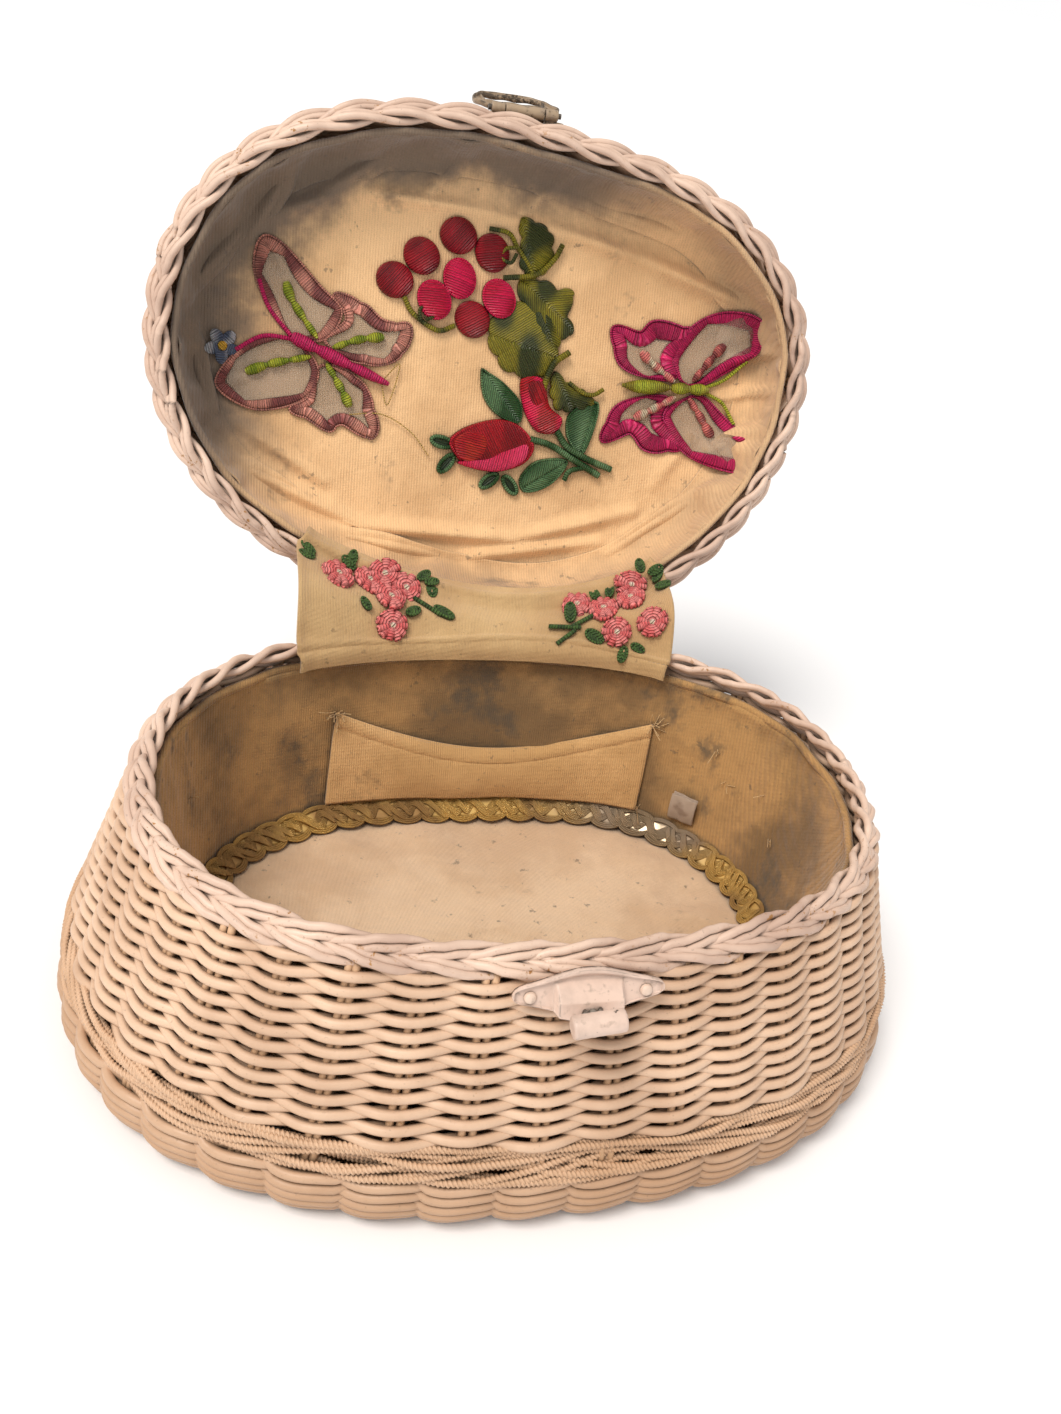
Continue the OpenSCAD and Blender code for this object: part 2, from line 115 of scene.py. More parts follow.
def wave(t, seed, counts, weights):
    """Smooth noise round a closed loop: a few sines with fixed random phases."""
    rng = np.random.default_rng(seed)
    return sum(w * np.sin(n * t + rng.uniform(0, TAU)) for n, w in zip(counts, weights))


def unit(v):
    return v / np.maximum(np.linalg.norm(v, axis=-1, keepdims=True), 1e-9)


def ahead_of(path, closed):
    """Unit directions along a path."""
    if closed:
        return unit(np.roll(path, -1, 0) - np.roll(path, 1, 0))
    return unit(np.gradient(path, axis=0))


def lengths(path):
    """Length along a path up to each of its points."""
    return np.concatenate([[0], np.cumsum(np.linalg.norm(np.diff(path, axis=0), axis=1))])


def between(a, b, c, d, f):
    """The Catmull-Rom point a share f of the way from b to c."""
    return 0.5 * (2 * b + (c - a) * f + (2 * a - 5 * b + 4 * c - d) * f ** 2
                  + (3 * b - a - 3 * c + d) * f ** 3)


# ---------------------------------------------------------------- mesh builders
def make_mesh(name, verts, faces, material, body, slot=None, node=None, **values):
    """A mesh object from points in millimetres, which stands for a CAD node if one is named.

    values are per-point numbers for its material.
    """
    mesh = bpy.data.meshes.new(name)
    mesh.from_pydata((np.asarray(verts) * MM).tolist(), [], [list(f) for f in faces])
    mesh.validate()
    work = bmesh.new()
    work.from_mesh(mesh)
    bmesh.ops.recalc_face_normals(work, faces=work.faces)
    work.to_mesh(mesh)
    work.free()
    mesh.shade_smooth()
    for key, data in values.items():
        attribute = mesh.attributes.new(key, "FLOAT", "POINT")
        attribute.data.foreach_set("value", np.asarray(data, np.float32).ravel())
    obj = bpy.data.objects.new(name, mesh)
    bpy.context.scene.collection.objects.link(obj)
    mesh.materials.append(material)
    if body:
        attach(obj, body)
    if node:
        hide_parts(node)
    return obj


def grid_faces(rows, cols, wrap_rows=False, wrap_cols=False, start=0):
    """Quads of a grid of points that is stored row by row."""
    i, j = np.meshgrid(
        np.arange(rows if wrap_rows else rows - 1), np.arange(cols if wrap_cols else cols - 1), indexing="ij"
    )
    i2, j2 = (i + 1) % rows, (j + 1) % cols
    quads = np.stack([i * cols + j, i2 * cols + j, i2 * cols + j2, i * cols + j2], -1)
    return quads.reshape(-1, 4) + start


def end_caps(rows, sides, start=0):
    """The two end faces of a tube of this many rings."""
    last = start + (rows - 1) * sides
    return [list(range(start, start + sides)), list(range(last + sides - 1, last - 1, -1))]


def tube_points(path, radius, sides, closed, ref, squeeze=1.0, turn=None):
    """Rings of points round a path. squeeze flattens the tube along ref; turn twists it."""
    tangent = ahead_of(path, closed)
    ref = np.broadcast_to(np.asarray(ref, float), path.shape)
    n1 = unit(ref - (ref * tangent).sum(-1, keepdims=True) * tangent)
    n2 = np.cross(tangent, n1)
    a = np.arange(sides) * TAU / sides
    a = a[None, :] + (np.zeros(len(path)) if turn is None else turn)[:, None]
    radius = np.asarray(radius, float)
    radius = radius[:, None] if radius.ndim == 1 else radius
    ring = (n1[:, None] * (np.cos(a) * squeeze)[..., None] + n2[:, None] * np.sin(a)[..., None])
    return path[:, None] + ring * np.broadcast_to(radius, a.shape)[..., None]


def tubes(name, paths, radius, material, body, sides=8, closed=False, ref=(0, 0, 1),
          squeeze=1.0, turns=None, **options):
    """One mesh of round reeds or cords that follow the paths."""
    verts, faces, along, tone, start = [], [], [], [], 0
    for k, path in enumerate(paths):
        path = np.asarray(path, float)
        n = len(path)
        r = radius[k] if isinstance(radius, list) else radius
        this_ref = ref[k] if isinstance(ref, list) else ref
        turn = turns[k] if turns is not None else None
        ring = tube_points(path, r, sides, closed, this_ref, squeeze, turn)
        verts.append(ring.reshape(-1, 3))
        faces.extend(grid_faces(n, sides, closed, True, start).tolist())
        if not closed:
            faces += end_caps(n, sides, start)
        along.append(np.repeat(lengths(path), sides))
        tone.append(np.full(n * sides, RANDOM.uniform()))
        start += n * sides
    verts = np.concatenate(verts)
    return make_mesh(name, verts, faces, material, body, along=np.concatenate(along),
                     tone=np.concatenate(tone), **options)


def grid_normals(grid, wrap_cols):
    if wrap_cols:
        dj = np.roll(grid, -1, 1) - np.roll(grid, 1, 1)
    else:
        dj = np.gradient(grid, axis=1)
    return unit(np.cross(np.gradient(grid, axis=0), dj))


def cloth_sheet(name, grid, thick, material, body, wrap=False, **options):
    """A closed sheet of cloth over a grid of points (rows, columns, 3), thickened against its normal."""
    rows, cols = grid.shape[:2]
    back = grid - grid_normals(grid, wrap) * thick
    half = rows * cols
    faces = grid_faces(rows, cols, False, wrap).tolist()
    faces += grid_faces(rows, cols, False, wrap, half)[:, ::-1].tolist()
    for row, flip in ((0, False), (rows - 1, True)):
        for j in range(cols if wrap else cols - 1):
            a, b = row * cols + j, row * cols + (j + 1) % cols
            quad = [a, b, b + half, a + half]
            faces.append(quad[::-1] if flip else quad)
    if not wrap:
        for col, flip in ((0, True), (cols - 1, False)):
            for i in range(rows - 1):
                a, b = i * cols + col, (i + 1) * cols + col
                quad = [a, b, b + half, a + half]
                faces.append(quad[::-1] if flip else quad)
    verts = np.concatenate([grid.reshape(-1, 3), back.reshape(-1, 3)])
    return make_mesh(name, verts, faces, material, body, **options)


def disc_grid(rings, count, point):
    """Rings of points from the middle outwards; point(s, t) gives a place for s in 0..1."""
    t = np.arange(count) * TAU / count
    s = np.linspace(0, 1, rings)[1:]
    return np.stack([point(np.full(count, v), t) for v in s])


def pad_mesh(name, top, bottom, material, body, **options):
    """A closed pad between two polar grids (rings outwards) with the same number of columns."""
    rows, cols = top.shape[:2]
    low_rows = bottom.shape[0]
    verts = [top.reshape(-1, 3), bottom.reshape(-1, 3), top[0].mean(0)[None], bottom[0].mean(0)[None]]
    n_top, n_low = rows * cols, low_rows * cols
    faces = grid_faces(rows, cols, False, True).tolist()
    faces += grid_faces(low_rows, cols, False, True, n_top)[:, ::-1].tolist()
    for j in range(cols):
        k = (j + 1) % cols
        faces.append([n_top + n_low, j, k])
        faces.append([n_top + n_low + 1, n_top + k, n_top + j])
        a, b = (rows - 1) * cols + j, (rows - 1) * cols + k
        c, d = n_top + (low_rows - 1) * cols + k, n_top + (low_rows - 1) * cols + j
        faces.append([a, d, c, b])
    return make_mesh(name, np.concatenate(verts), faces, material, body, **options)


# ---------------------------------------------------------------- materials
class Paint:
    """A small helper that builds one node material."""

    def __init__(self, name, roughness=0.7, sheen=0.0):
        self.material = bpy.data.materials.new(name)
        self.material.use_nodes = True
        self.tree = self.material.node_tree
        self.bsdf = self.tree.nodes["Principled BSDF"]
        self.bsdf.inputs["Roughness"].default_value = roughness
        self.bsdf.inputs["Sheen Weight"].default_value = sheen
        self.coords = self.tree.nodes.new("ShaderNodeTexCoord").outputs["Object"]

    def link(self, source, target):
        if hasattr(source, "links"):
            self.tree.links.new(source, target)
        elif isinstance(source, (tuple, list)):
            opaque = len(source) == 3 and len(target.default_value) == 4
            target.default_value = (*source, 1) if opaque else source
        else:
            target.default_value = source

    def node(self, kind, inputs=None, **settings):
        n = self.tree.nodes.new(kind)
        for key, value in settings.items():
            setattr(n, key, value)
        for key, value in (inputs or {}).items():
            self.link(value, n.inputs[key])
        return n

    def value(self, name):
        return self.node("ShaderNodeAttribute", attribute_name=name).outputs["Fac"]

    def noise(self, scale, detail=3.0, rough=0.5, coords=None, stretch=None):
        """Noise from 0 to 1; scale is features per metre."""
        coords = coords or self.coords
        if stretch:
            coords = self.node("ShaderNodeMapping", {"Vector": coords, "Scale": stretch}).outputs["Vector"]
        return self.node("ShaderNodeTexNoise", {"Vector": coords, "Scale": scale, "Detail": detail,
                                                "Roughness": rough}).outputs["Fac"]

    def xyz(self):
        """The X, Y and Z outputs of the point's place, in metres."""
        return self.node("ShaderNodeSeparateXYZ", {"Vector": self.coords}).outputs

    def math(self, kind, a, b=0.0):
        n = self.node("ShaderNodeMath", operation=kind)
        self.link(a, n.inputs[0])
        self.link(b, n.inputs[1])
        return n.outputs[0]

    def add(self, a, b):
        return self.math("ADD", a, b)

    def times(self, a, b):
        return self.math("MULTIPLY", a, b)

    def range(self, fac, low, high, to_low=0.0, to_high=1.0):
        ends = {"Value": fac, "From Min": low, "From Max": high, "To Min": to_low, "To Max": to_high}
        return self.node("ShaderNodeMapRange", ends, interpolation_type="SMOOTHSTEP").outputs["Result"]

    def mix(self, fac, a, b, blend="MIX"):
        n = self.node("ShaderNodeMix", data_type="RGBA", blend_type=blend)
        self.link(fac, n.inputs["Factor"])
        self.link(a, n.inputs["A"])
        self.link(b, n.inputs["B"])
        return n.outputs["Result"]

    def crevice(self, distance, low=0.35, high=0.9):
        """Ambient occlusion as a mask, 1 in tight gaps and 0 on open faces; the materials darken by it to
        paint shade there.
        """
        ao = self.node("ShaderNodeAmbientOcclusion", {"Distance": distance * MM}, samples=4)
        return self.range(ao.outputs["AO"], low, high, 1.0, 0.0)

    def bump(self, height, distance, strength=1.0):
        """Stacks a bump of this real height, in millimetres, on the ones before it."""
        n = self.node("ShaderNodeBump", {"Height": height, "Distance": distance * MM, "Strength": strength})
        normal = self.bsdf.inputs["Normal"]
        if normal.links:
            self.tree.links.new(normal.links[0].from_socket, n.inputs["Normal"])
            self.tree.links.remove(normal.links[0])
        self.tree.links.new(n.outputs["Normal"], normal)

    def done(self, color, roughness=None):
        self.link(color, self.bsdf.inputs["Base Color"])
        if roughness is not None:
            self.link(roughness, self.bsdf.inputs["Roughness"])
        return self.material


def srgb(r, g, b):
    """A colour as it is seen, 0 to 255, for the shader."""
    return tuple(c / 255 / 12.92 if c / 255 <= 0.04045 else ((c / 255 + 0.055) / 1.055) ** 2.4
                 for c in (r, g, b))


def darker(color, share):
    return tuple(c * share for c in color)


def painted_reed(name, paint, shade, grime, bare, chips=0.62, low_tint=None):
    """Brush-painted willow: tone by strand, streaks along it, specks of grime, painted shade in the gaps in
    the grime colour, chips to the wood.
    """
    p = Paint(name, 0.5)

    def grain(along, tone, wander):
        """Noise drawn out along each reed, and different from reed to reed."""
        place = {"X": p.times(p.value("along"), along), "Y": p.times(p.value("tone"), tone), "Z": wander}
        return p.noise(1.0, 3, coords=p.node("ShaderNodeCombineXYZ", place).outputs[0])

    streak = grain(0.09, 90.0, p.noise(300, 1))
    patch = p.noise(24, 4, 0.6)
    color = p.mix(p.range(patch, 0.35, 0.7), paint, shade)
    color = p.mix(p.range(streak, 0.45, 0.75, 0, 0.35), color, shade)
    # Browner and darker towards the floor, below 50 mm.
    if low_tint:
        color = p.mix(p.range(p.xyz()["Z"], 0.05, 0.0, 0.0, 0.75), color, low_tint)
    speck = p.noise(420, 4, 0.7)
    chip = p.times(p.range(speck, chips, chips + 0.03), p.range(p.noise(45, 2), 0.5, 0.62))
    color = p.mix(p.range(p.noise(900, 2, 0.6), 0.66, 0.74, 0, 0.3), color, grime)
    color = p.mix(chip, color, bare)
    # Painted shade: the gaps between reeds, found by ambient occlusion, darken towards the grime colour.
    gap_shade = p.crevice(3.0, 0.1, 0.72)
    color = p.mix(p.times(gap_shade, 0.7), color, grime)
    p.bump(grain(0.12, 50.0, p.noise(500, 2)), 0.22)
    p.bump(p.math("SUBTRACT", p.noise(1500, 3), p.times(chip, 0.8)), 0.07)
    return p.done(color, p.range(patch, 0.3, 0.8, 0.42, 0.62))


def rim_shade_and_stain(p, xyz, color):
    """Painted shade of the rim on the lid's cloth, with some grey stain: grey towards its upper left edge,
    and a faint darker band along the rest of the edge.
    """
    across = p.math("DIVIDE", xyz["X"], 0.118)
    drop = HINGE_Y * (1 - math.cos(LID_TURN)) + HINGE_Z * math.sin(LID_TURN)
    turned = p.add(p.times(xyz["Y"], math.cos(LID_TURN) / 0.084),
                   p.times(xyz["Z"], -math.sin(LID_TURN) / 0.084))
    up = p.add(turned, drop * MM / 0.084)
    out = p.math("SQRT", p.add(p.math("POWER", across, 2.0), p.math("POWER", up, 2.0)))
    ragged = p.add(out, p.times(p.math("SUBTRACT", p.noise(28, 5, 0.65), 0.5), 0.45))
    place = p.add(p.times(across, -0.8), p.times(up, -0.75))
    # Painted shade of the rim, with some grey stain, towards the upper left of the edge.
    grey = p.times(p.range(ragged, 0.74, 0.94), p.range(place, -0.05, 0.5))
    color = p.mix(p.times(grey, 0.9), color, srgb(100, 90, 82))
    # Painted shade: a faint darker band along the rest of the edge, next to the rim.
    faint = p.times(p.range(ragged, 0.86, 1.04), p.range(place, 0.4, -0.2))
    return p.mix(p.times(faint, 0.45), color, srgb(150, 130, 108))


def woven_cloth(name, base, alt, stain_and_shade, thread=0.55, ribs=0.0, stains=0.6, rim=False):
    """Plain-woven canvas: warp and weft threads, uneven dye, stains, painted shade in the weave's hollows and
    in folds.
    """
    p = Paint(name, 0.9, 0.25)
    xyz = p.xyz()
    k = TAU / (thread * MM)
    warps = p.math("SINE", p.times(xyz["X"], k * (1 - 0.35 * ribs)))
    depth = p.add(p.times(xyz["Y"], 0.83), p.times(xyz["Z"], 1.0))
    wefts = p.math("SINE", p.times(depth, k))
    weave = p.add(warps, p.times(wefts, 1.0 - 0.8 * ribs))
    color = p.mix(p.range(p.noise(14, 5, 0.65), 0.4, 0.62), base, alt)
    cloud = p.range(p.noise(22, 5, 0.7, stretch=(1, 1.7, 1)), stains, stains + 0.14, 0, 0.8)
    color = p.mix(cloud, color, stain_and_shade)
    color = p.mix(p.range(p.noise(190, 3, 0.7), 0.64, 0.72, 0, 0.6), color, stain_and_shade)
    color = p.mix(p.range(p.noise(2600, 2), 0.4, 0.75, 0, 0.22), color, darker(base, 0.45))
    # Painted shade in the hollows between the threads.
    color = p.mix(p.range(weave, -1.6, -0.3, 0.34, 0.0), color, darker(base, 0.35))
    # Painted shade in folds and tight gaps, darker than the stain colour.
    color = p.mix(p.times(p.crevice(9, 0.2, 0.85), 0.55), color, darker(stain_and_shade, 0.4))
    # The lid's cloth also gets painted shade of its rim, with some stain.
    if rim:
        color = rim_shade_and_stain(p, xyz, color)
    p.bump(p.times(weave, 0.25), 0.3)
    p.bump(p.noise(48, 4), 3.0, 0.8)
    p.bump(p.noise(150, 3, 0.6), 0.5, 0.5)
    return p.done(color)


# The third colour of each painted reed is both its specks of grime and the painted shade in the gaps between
# reeds.
CREAM, WARM, GRIME_AND_SHADE, BARE = srgb(226, 194, 166), srgb(200, 166, 138), srgb(104, 86, 70), srgb(176, 126, 72)
WICKER = painted_reed("wicker_paint", CREAM, WARM, GRIME_AND_SHADE, BARE, 0.68, srgb(168, 128, 92))
STAKE = painted_reed("stake_paint", srgb(220, 182, 146), srgb(188, 150, 114), GRIME_AND_SHADE, BARE, 0.6)
BRAID = painted_reed("braid_paint", srgb(228, 200, 180), srgb(192, 162, 144), srgb(66, 56, 50), BARE, 0.6)
CORD = painted_reed("cord_paint", srgb(218, 182, 150), srgb(196, 158, 124), srgb(84, 70, 58), BARE, 0.72)
LINING = woven_cloth("lining_cloth", srgb(196, 152, 96), srgb(128, 100, 64), srgb(84, 76, 64), 0.7, 0.6, 0.53)
PANEL = woven_cloth("panel_cloth", srgb(250, 206, 154), srgb(226, 182, 132), srgb(112, 94, 78), 0.8, 0.8,
                    rim=True)
FLOOR_CLOTH = woven_cloth("floor_cloth", srgb(252, 218, 180), srgb(230, 192, 152), srgb(90, 72, 56), 0.5,
                          stains=0.66)
POCKET = woven_cloth("pocket_cloth", srgb(232, 186, 128), srgb(206, 162, 106), srgb(110, 88, 64), 0.7, 0.6,
                     0.62)
STRIP = woven_cloth("strip_cloth", srgb(232, 194, 138), srgb(212, 172, 120), srgb(150, 118, 84), 0.6,
                    stains=0.72)


# ---------------------------------------------------------------- wicker: basket wall
WEAVE_TOP, WEAVE_LOW, ROW_PITCH = 86.2, 32.4, 2.42
CORD_TOP, CORD_LOW = 34.0, 21.5
WALL_MID = 4.0                  # reed centre line, inside the wall's outside
SWING = 2.3                     # how far a reed passes to each side of the stakes


def stake_t(u):
    """Angle round the oval of stake number u."""
    return TAU * (np.asarray(u, float) + 0.5) / STAKES


def bow(u, sharp=1.05):
    """+1 in front of even stakes, -1 behind odd ones, with quick dives between."""
    c = np.cos(math.pi * np.asarray(u, float))
    return np.sign(c) * np.abs(c) ** sharp


def wall_weavers():
    slant = math.hypot(WEAVE_TOP - WEAVE_LOW, out_at(WEAVE_LOW) - out_at(WEAVE_TOP))
    laps = round(slant / ROW_PITCH)
    u = np.arange(laps * STAKES * 10) / 10
    z = WEAVE_LOW + (WEAVE_TOP - WEAVE_LOW) * u / (laps * STAKES)
    t = stake_t(u)
    z = z + wave(t, 3, (3, 7, 12), (0.5, 0.35, 0.25)) * np.sin(math.pi * u / (laps * STAKES))
    z = z + 0.30 * np.sin(math.pi * u) + 0.22 * np.sin(1.7 * u + 0.4 * np.sin(u))
    path = oval(out_at(z) - WALL_MID + SWING * bow(u), z, t)
    tubes("wall_weavers_reed", [path], REED_R, WICKER, "basket", slot="wicker",
          node="wall_weavers")


def stakes(name, heights, offset, body, lid, node):
    """Pairs of upright reeds; offset(z) is their distance from the rim line."""
    paths = []
    for k in range(STAKES):
        for side in (-1, 1):
            t = stake_t(k + side * 0.062) + RANDOM.normal(0, 0.003)
            z = np.linspace(heights[0], heights[1], 18)
            p = oval(offset(z), z, t, lid)
            paths.append(opened(p) if lid else p)
    tubes(name, paths, 1.3, STAKE, body, ref=(1, 0.3, 0.1), slot="wicker", node=node)


def foot_weavers():
    """Packed rows; in each, two reeds take turns in front of the stakes."""
    points = [(20.8, out_at(20.8)), (16, out_at(16)), (12, 26.0), (8, 25.2), (4, 22.4), (1.4, 18.6),
              (1.3, 14.6)]
    z_at, o_at = (smooth_curve([(i, p[axis]) for i, p in enumerate(points)], 0.9) for axis in (0, 1))
    rows = 8
    paths, u = [], np.arange(STAKES * 10) / 10
    for k in range(rows):
        at = 0.25 + k * (len(points) - 1.3) / (rows - 1)
        for sign in (1, -1):
            turn = sign * bow(u, 0.7)
            dip = 0.55 * np.sin(TAU * u) + 0.25 * wave(stake_t(u), k, (5, 9), (1, 0.6))
            z = np.maximum(z_at(at) + dip + 0.9 * (turn < 0), 1.6)
            o = o_at(at) - 2.7 + 2.1 * turn
            paths.append(oval(o, z, stake_t(u)))
    tubes("foot_weavers_reed", paths, 1.72, WICKER, "basket", closed=True, slot="wicker",
          node="foot_weavers")


def cord_band():
    """Twisted cords that wander up and down as they pass in front of the stakes."""
    count, per_stake, twist_pitch = 13, 40, 2.9
    u = np.arange(STAKES * per_stake) / per_stake
    mid, span = (CORD_TOP + CORD_LOW) / 2, (CORD_TOP - CORD_LOW) / 2 - 1.2
    paths, radii, turns = [], [], []
    for k in range(count):
        phase = TAU * k / count
        swell = wave(stake_t(u), 20 + k, (2, 5, 8), (0.5, 0.3, 0.25))
        swing = np.sin(TAU * u * 6 / STAKES + phase)
        if k % 4 == 0:
            swing = (1.1, -1.02, 0.3, -0.4)[k // 4] + 0.14 * swing
        z = mid + span * np.clip(0.9 * swing + 0.2 * swell, -1.08, 1.12)
        front = np.cos(TAU * u * 9 / STAKES + phase)
        bulge = 1.1 * np.cos(TAU * u * 14 / STAKES + phase * 2)
        o = out_at(z) - 2.7 + 1.3 * np.clip(front * 1.6, -1, 1) + bulge
        path = oval(o, z, stake_t(u))
        turn = TAU * lengths(path) / twist_pitch
        turn = turn * round(turn[-1] / TAU) * TAU / turn[-1]
        paths.append(path)
        a = np.arange(8) * TAU / 8
        radii.append(np.broadcast_to(1.16 * (1 + 0.26 * np.cos(2 * a)), (len(u), 8)))
        turns.append(turn)
    tubes("cord_band_cord", paths, radii, CORD, "basket", closed=True, turns=turns,
          slot="paper_cord", node="cord_band")


def plait(name, z, body, lid, node, flip):
    """Flat plaited border: a loop of paired reeds that laps the oval four times in long slants."""
    laps, per_stake = 4, 12
    u = np.arange(laps * STAKES * per_stake) / per_stake
    phase = TAU * u / laps
    t = stake_t(u)
    loose = wave(t, 40 + flip, (4, 9, 15), (0.25, 0.2, 0.15))
    stray = wave(phase / laps, 44 + flip, (13, 29, 47), (0.3, 0.25, 0.2))
    wide, deep = 3.3 + 0.4 * loose, 1.75
    lean = math.radians(46)
    paths = []
    for side in (-1, 1):
        slant = np.arcsin(0.94 * np.sin(phase + 0.5)) / 1.22
        across = wide * slant + side * (1.18 + 0.2 * np.cos(phase)) + 0.5 * stray
        depth = deep * np.sin(2 * phase + 1.0) + 0.35 * side * np.cos(phase) + 0.25 * stray
        o = -math.cos(lean) * across + math.sin(lean) * depth
        up = math.sin(lean) * across + math.cos(lean) * depth
        p = oval(o, z + flip * up, t, lid)
        paths.append(opened(p) if lid else p)
    tubes(name, paths, 1.36, BRAID, body, closed=True, ref=(0, 0.3, 1.0), sides=10, slot="braid", node=node)


# ---------------------------------------------------------------- wicker: lid and base
LID_OUT = smooth_curve([(3, 1.6), (7, 2.8), (14, 3.4), (26, -0.4), (34, -8.0), (38, -16.0)], 6)


def lid_weavers():
    low, high = 7.4, 33.5
    laps = round(28.5 / ROW_PITCH)
    u = np.arange(laps * STAKES * 10) / 10
    h = low + (high - low) * u / (laps * STAKES)
    h = h + 0.30 * np.sin(math.pi * u) + 0.2 * np.sin(1.9 * u)
    o = LID_OUT(h) - 3.2 + 2.4 * bow(u)
    tubes("lid_weavers_reed", [opened(oval(o, LID_Z + h, stake_t(u), True))], REED_R, WICKER, "lid",
          slot="wicker", node="lid_weavers")


def woven_disc(name, node, body, place, laps, edge, sign):
    """A round of weaving over radiating sticks; place(s, t, lift) gives its points."""
    u = np.arange(laps * STAKES * 8) / 8
    s = edge * (1 - u / (laps * STAKES) * 0.94)
    fade = np.clip(s / (0.45 * edge), 0.25, 1)
    path = place(s, stake_t(u), sign * 1.7 * bow(u) * fade)
    tubes(name, [path], 1.45, WICKER, body, slot="wicker", node=node, ref=(0.2, 0.1, 1))


def disc_sticks(name, node, body, place, edge):
    paths = []
    for k in range(STAKES):
        start = 0.04 if k % 4 == 0 else (0.3 if k % 2 == 0 else 0.55)
        s = np.linspace(start, edge, 14)
        paths.append(place(s, np.full(14, stake_t(k)), np.zeros(14)))
    tubes(name, paths, 1.25, STAKE, body, ref=(0.1, 0.2, 1), slot="wicker", node=node)


def base_place(s, t, lift):
    return oval(7.0, 3.25 + lift, t, False, s)


def crown_place(s, t, lift):
    top = LID_Z + LID_H - 3.6 - 4.5 * s ** 3
    return opened(oval(-12.0, top + lift, t, True, s))


# ---------------------------------------------------------------- linings
def wall_lining():
    """Canvas hung from under the border to the floor, with soft puckers."""
    rows, cols = 26, 300
    t = np.arange(cols) * TAU / cols
    profile = smooth_curve([(10, -13.6), (18, -12.6), (50, -6.6), (79, -2.6), (84.6, -3.2)], 8)
    z = np.linspace(84.6, 10, rows)[:, None]
    share = (84.6 - z) / 74.6
    pucker = wave(t, 5, (3, 7, 13, 19), (1.3, 1.0, 0.7, 0.5))[None] * np.sin(math.pi * share) ** 0.8
    gather = wave(t, 6, (29, 47, 68), (0.3, 0.24, 0.15))[None] * (1 - share) ** 2
    slant = np.sin(9 * t[None] + 5 * share) * 0.5 * share
    grid = oval(profile(z) - 1.2 - np.maximum(0, pucker + gather + slant) * 1.0, z, t[None])
    cloth_sheet("wall_lining_cloth", grid, 0.9, LINING, "basket", True, slot="lining", node="wall_lining")
    hem = oval(-4.3 + 0.4 * wave(t, 8, (11, 23), (1, 0.6)), 84.8 + 0.35 * wave(t, 9, (6, 17), (1, 0.8)), t)
    tubes("lining_hem", [hem], 1.5, LINING, "basket", closed=True, sides=10, squeeze=1.25, slot="lining")


def floor_pad():
    """Padded cloth over card, dimpled near its edge."""
    def top(s, t):
        crown = 15.4 + 1.6 * (1 - s ** 2.5) - 2.6 * np.clip((s - 0.93) / 0.07, 0, 1) ** 2
        dimple = np.exp(-((s - 0.8) / 0.13) ** 2) * 1.9 * np.sin(9 * t + 2 * np.sin(3 * t))
        wobble = 0.6 * wave(t, 11, (2, 5, 9), (1, 0.6, 0.4)) * s + 0.4 * np.sin(9 * s + 3 * np.sin(t))
        return oval(-15.0, crown + (wobble + dimple) * (1 - s ** 6), t, False, s)

    def low(s, t):
        return oval(-15.6, np.full_like(t, 11.0), t, False, s)

    pad_mesh("floor_pad_cloth", disc_grid(40, 220, top), disc_grid(3, 220, low), FLOOR_CLOTH, "basket",
             slot="panel_cloth", node="floor_pad")


# Soft folds of the lid's cloth on the closed lid: from, to, height and half width
LID_FOLDS = [
    ((-86, -50), (-58, -63), 3.2, 3.4), ((-58, -63), (0, -61), 2.2, 3.2), ((0, -61), (26, -56), 1.6, 3.0),
    ((-76, -54), (-42, -78), 2.6, 3.0), ((-58, -60), (-47, -74), 1.8, 2.4),
    ((-93, -43), (-78, -72), 2.6, 3.2),
    ((-30, -62), (-12, -82), 1.8, 2.6), ((8, -60), (30, -80), 1.6, 2.6),
    ((22, -58), (62, -50), 2.6, 3.4), ((62, -50), (108, -36), 3.4, 3.6), ((26, -70), (88, -58), 2.0, 3.4),
    ((103, -13), (124, -21), 2.2, 2.4), ((104, 2), (124, -4), 1.6, 2.2), ((100, 24), (124, 10), 2.6, 2.8),
    ((96, 46), (114, 34), 2.2, 2.8), ((-103, 40), (-46, 65), 2.4, 3.4), ((-46, 65), (18, 67), 2.8, 3.2),
    ((18, 67), (70, 52), 2.2, 3.2), ((-72, 66), (-6, 76), 2.2, 3.0), ((-6, 76), (56, 66), 2.4, 3.0),
    ((-96, 28), (-62, 48), 1.6, 3.0), ((-116, -8), (-106, 30), 2.2, 2.8), ((-118, -18), (-98, -42), 2.4, 2.8),
    ((60, 70), (96, 44), 2.0, 3.0), ((78, 40), (92, 20), 1.0, 3.2),
]
FOLD_RISE = 1.6
PANEL_OUT = -11.0               # where the panel's cloth ends, outside the lid's rim line


def folds_at(x, y):
    rise = np.zeros(np.broadcast(x, y).shape)
    for (x0, y0), (x1, y1), high, wide in LID_FOLDS:
        dx, dy = x1 - x0, y1 - y0
        along = np.clip(((x - x0) * dx + (y - y0) * dy) / (dx * dx + dy * dy), 0, 1)
        d2 = (x - x0 - along * dx) ** 2 + (y - y0 - along * dy) ** 2
        taper = 0.35 + 0.65 * np.sin(math.pi * np.clip(along, 0.08, 0.92))
        rise = np.maximum(rise, FOLD_RISE * high * taper * np.exp(-d2 / (0.9 * wide) ** 2))
    return rise


def edge_share(x, y):
    """0 at the panel's middle, 1 at the edge of its cloth."""
    t = np.arctan2(y / RIM_B, x / RIM_A)
    for _ in range(2):
        out = PANEL_OUT + warp(t, True)
        t = np.arctan2(y / (RIM_B + out), x / (RIM_A + out))
    return np.hypot(x / (RIM_A + out), y / (RIM_B + out))


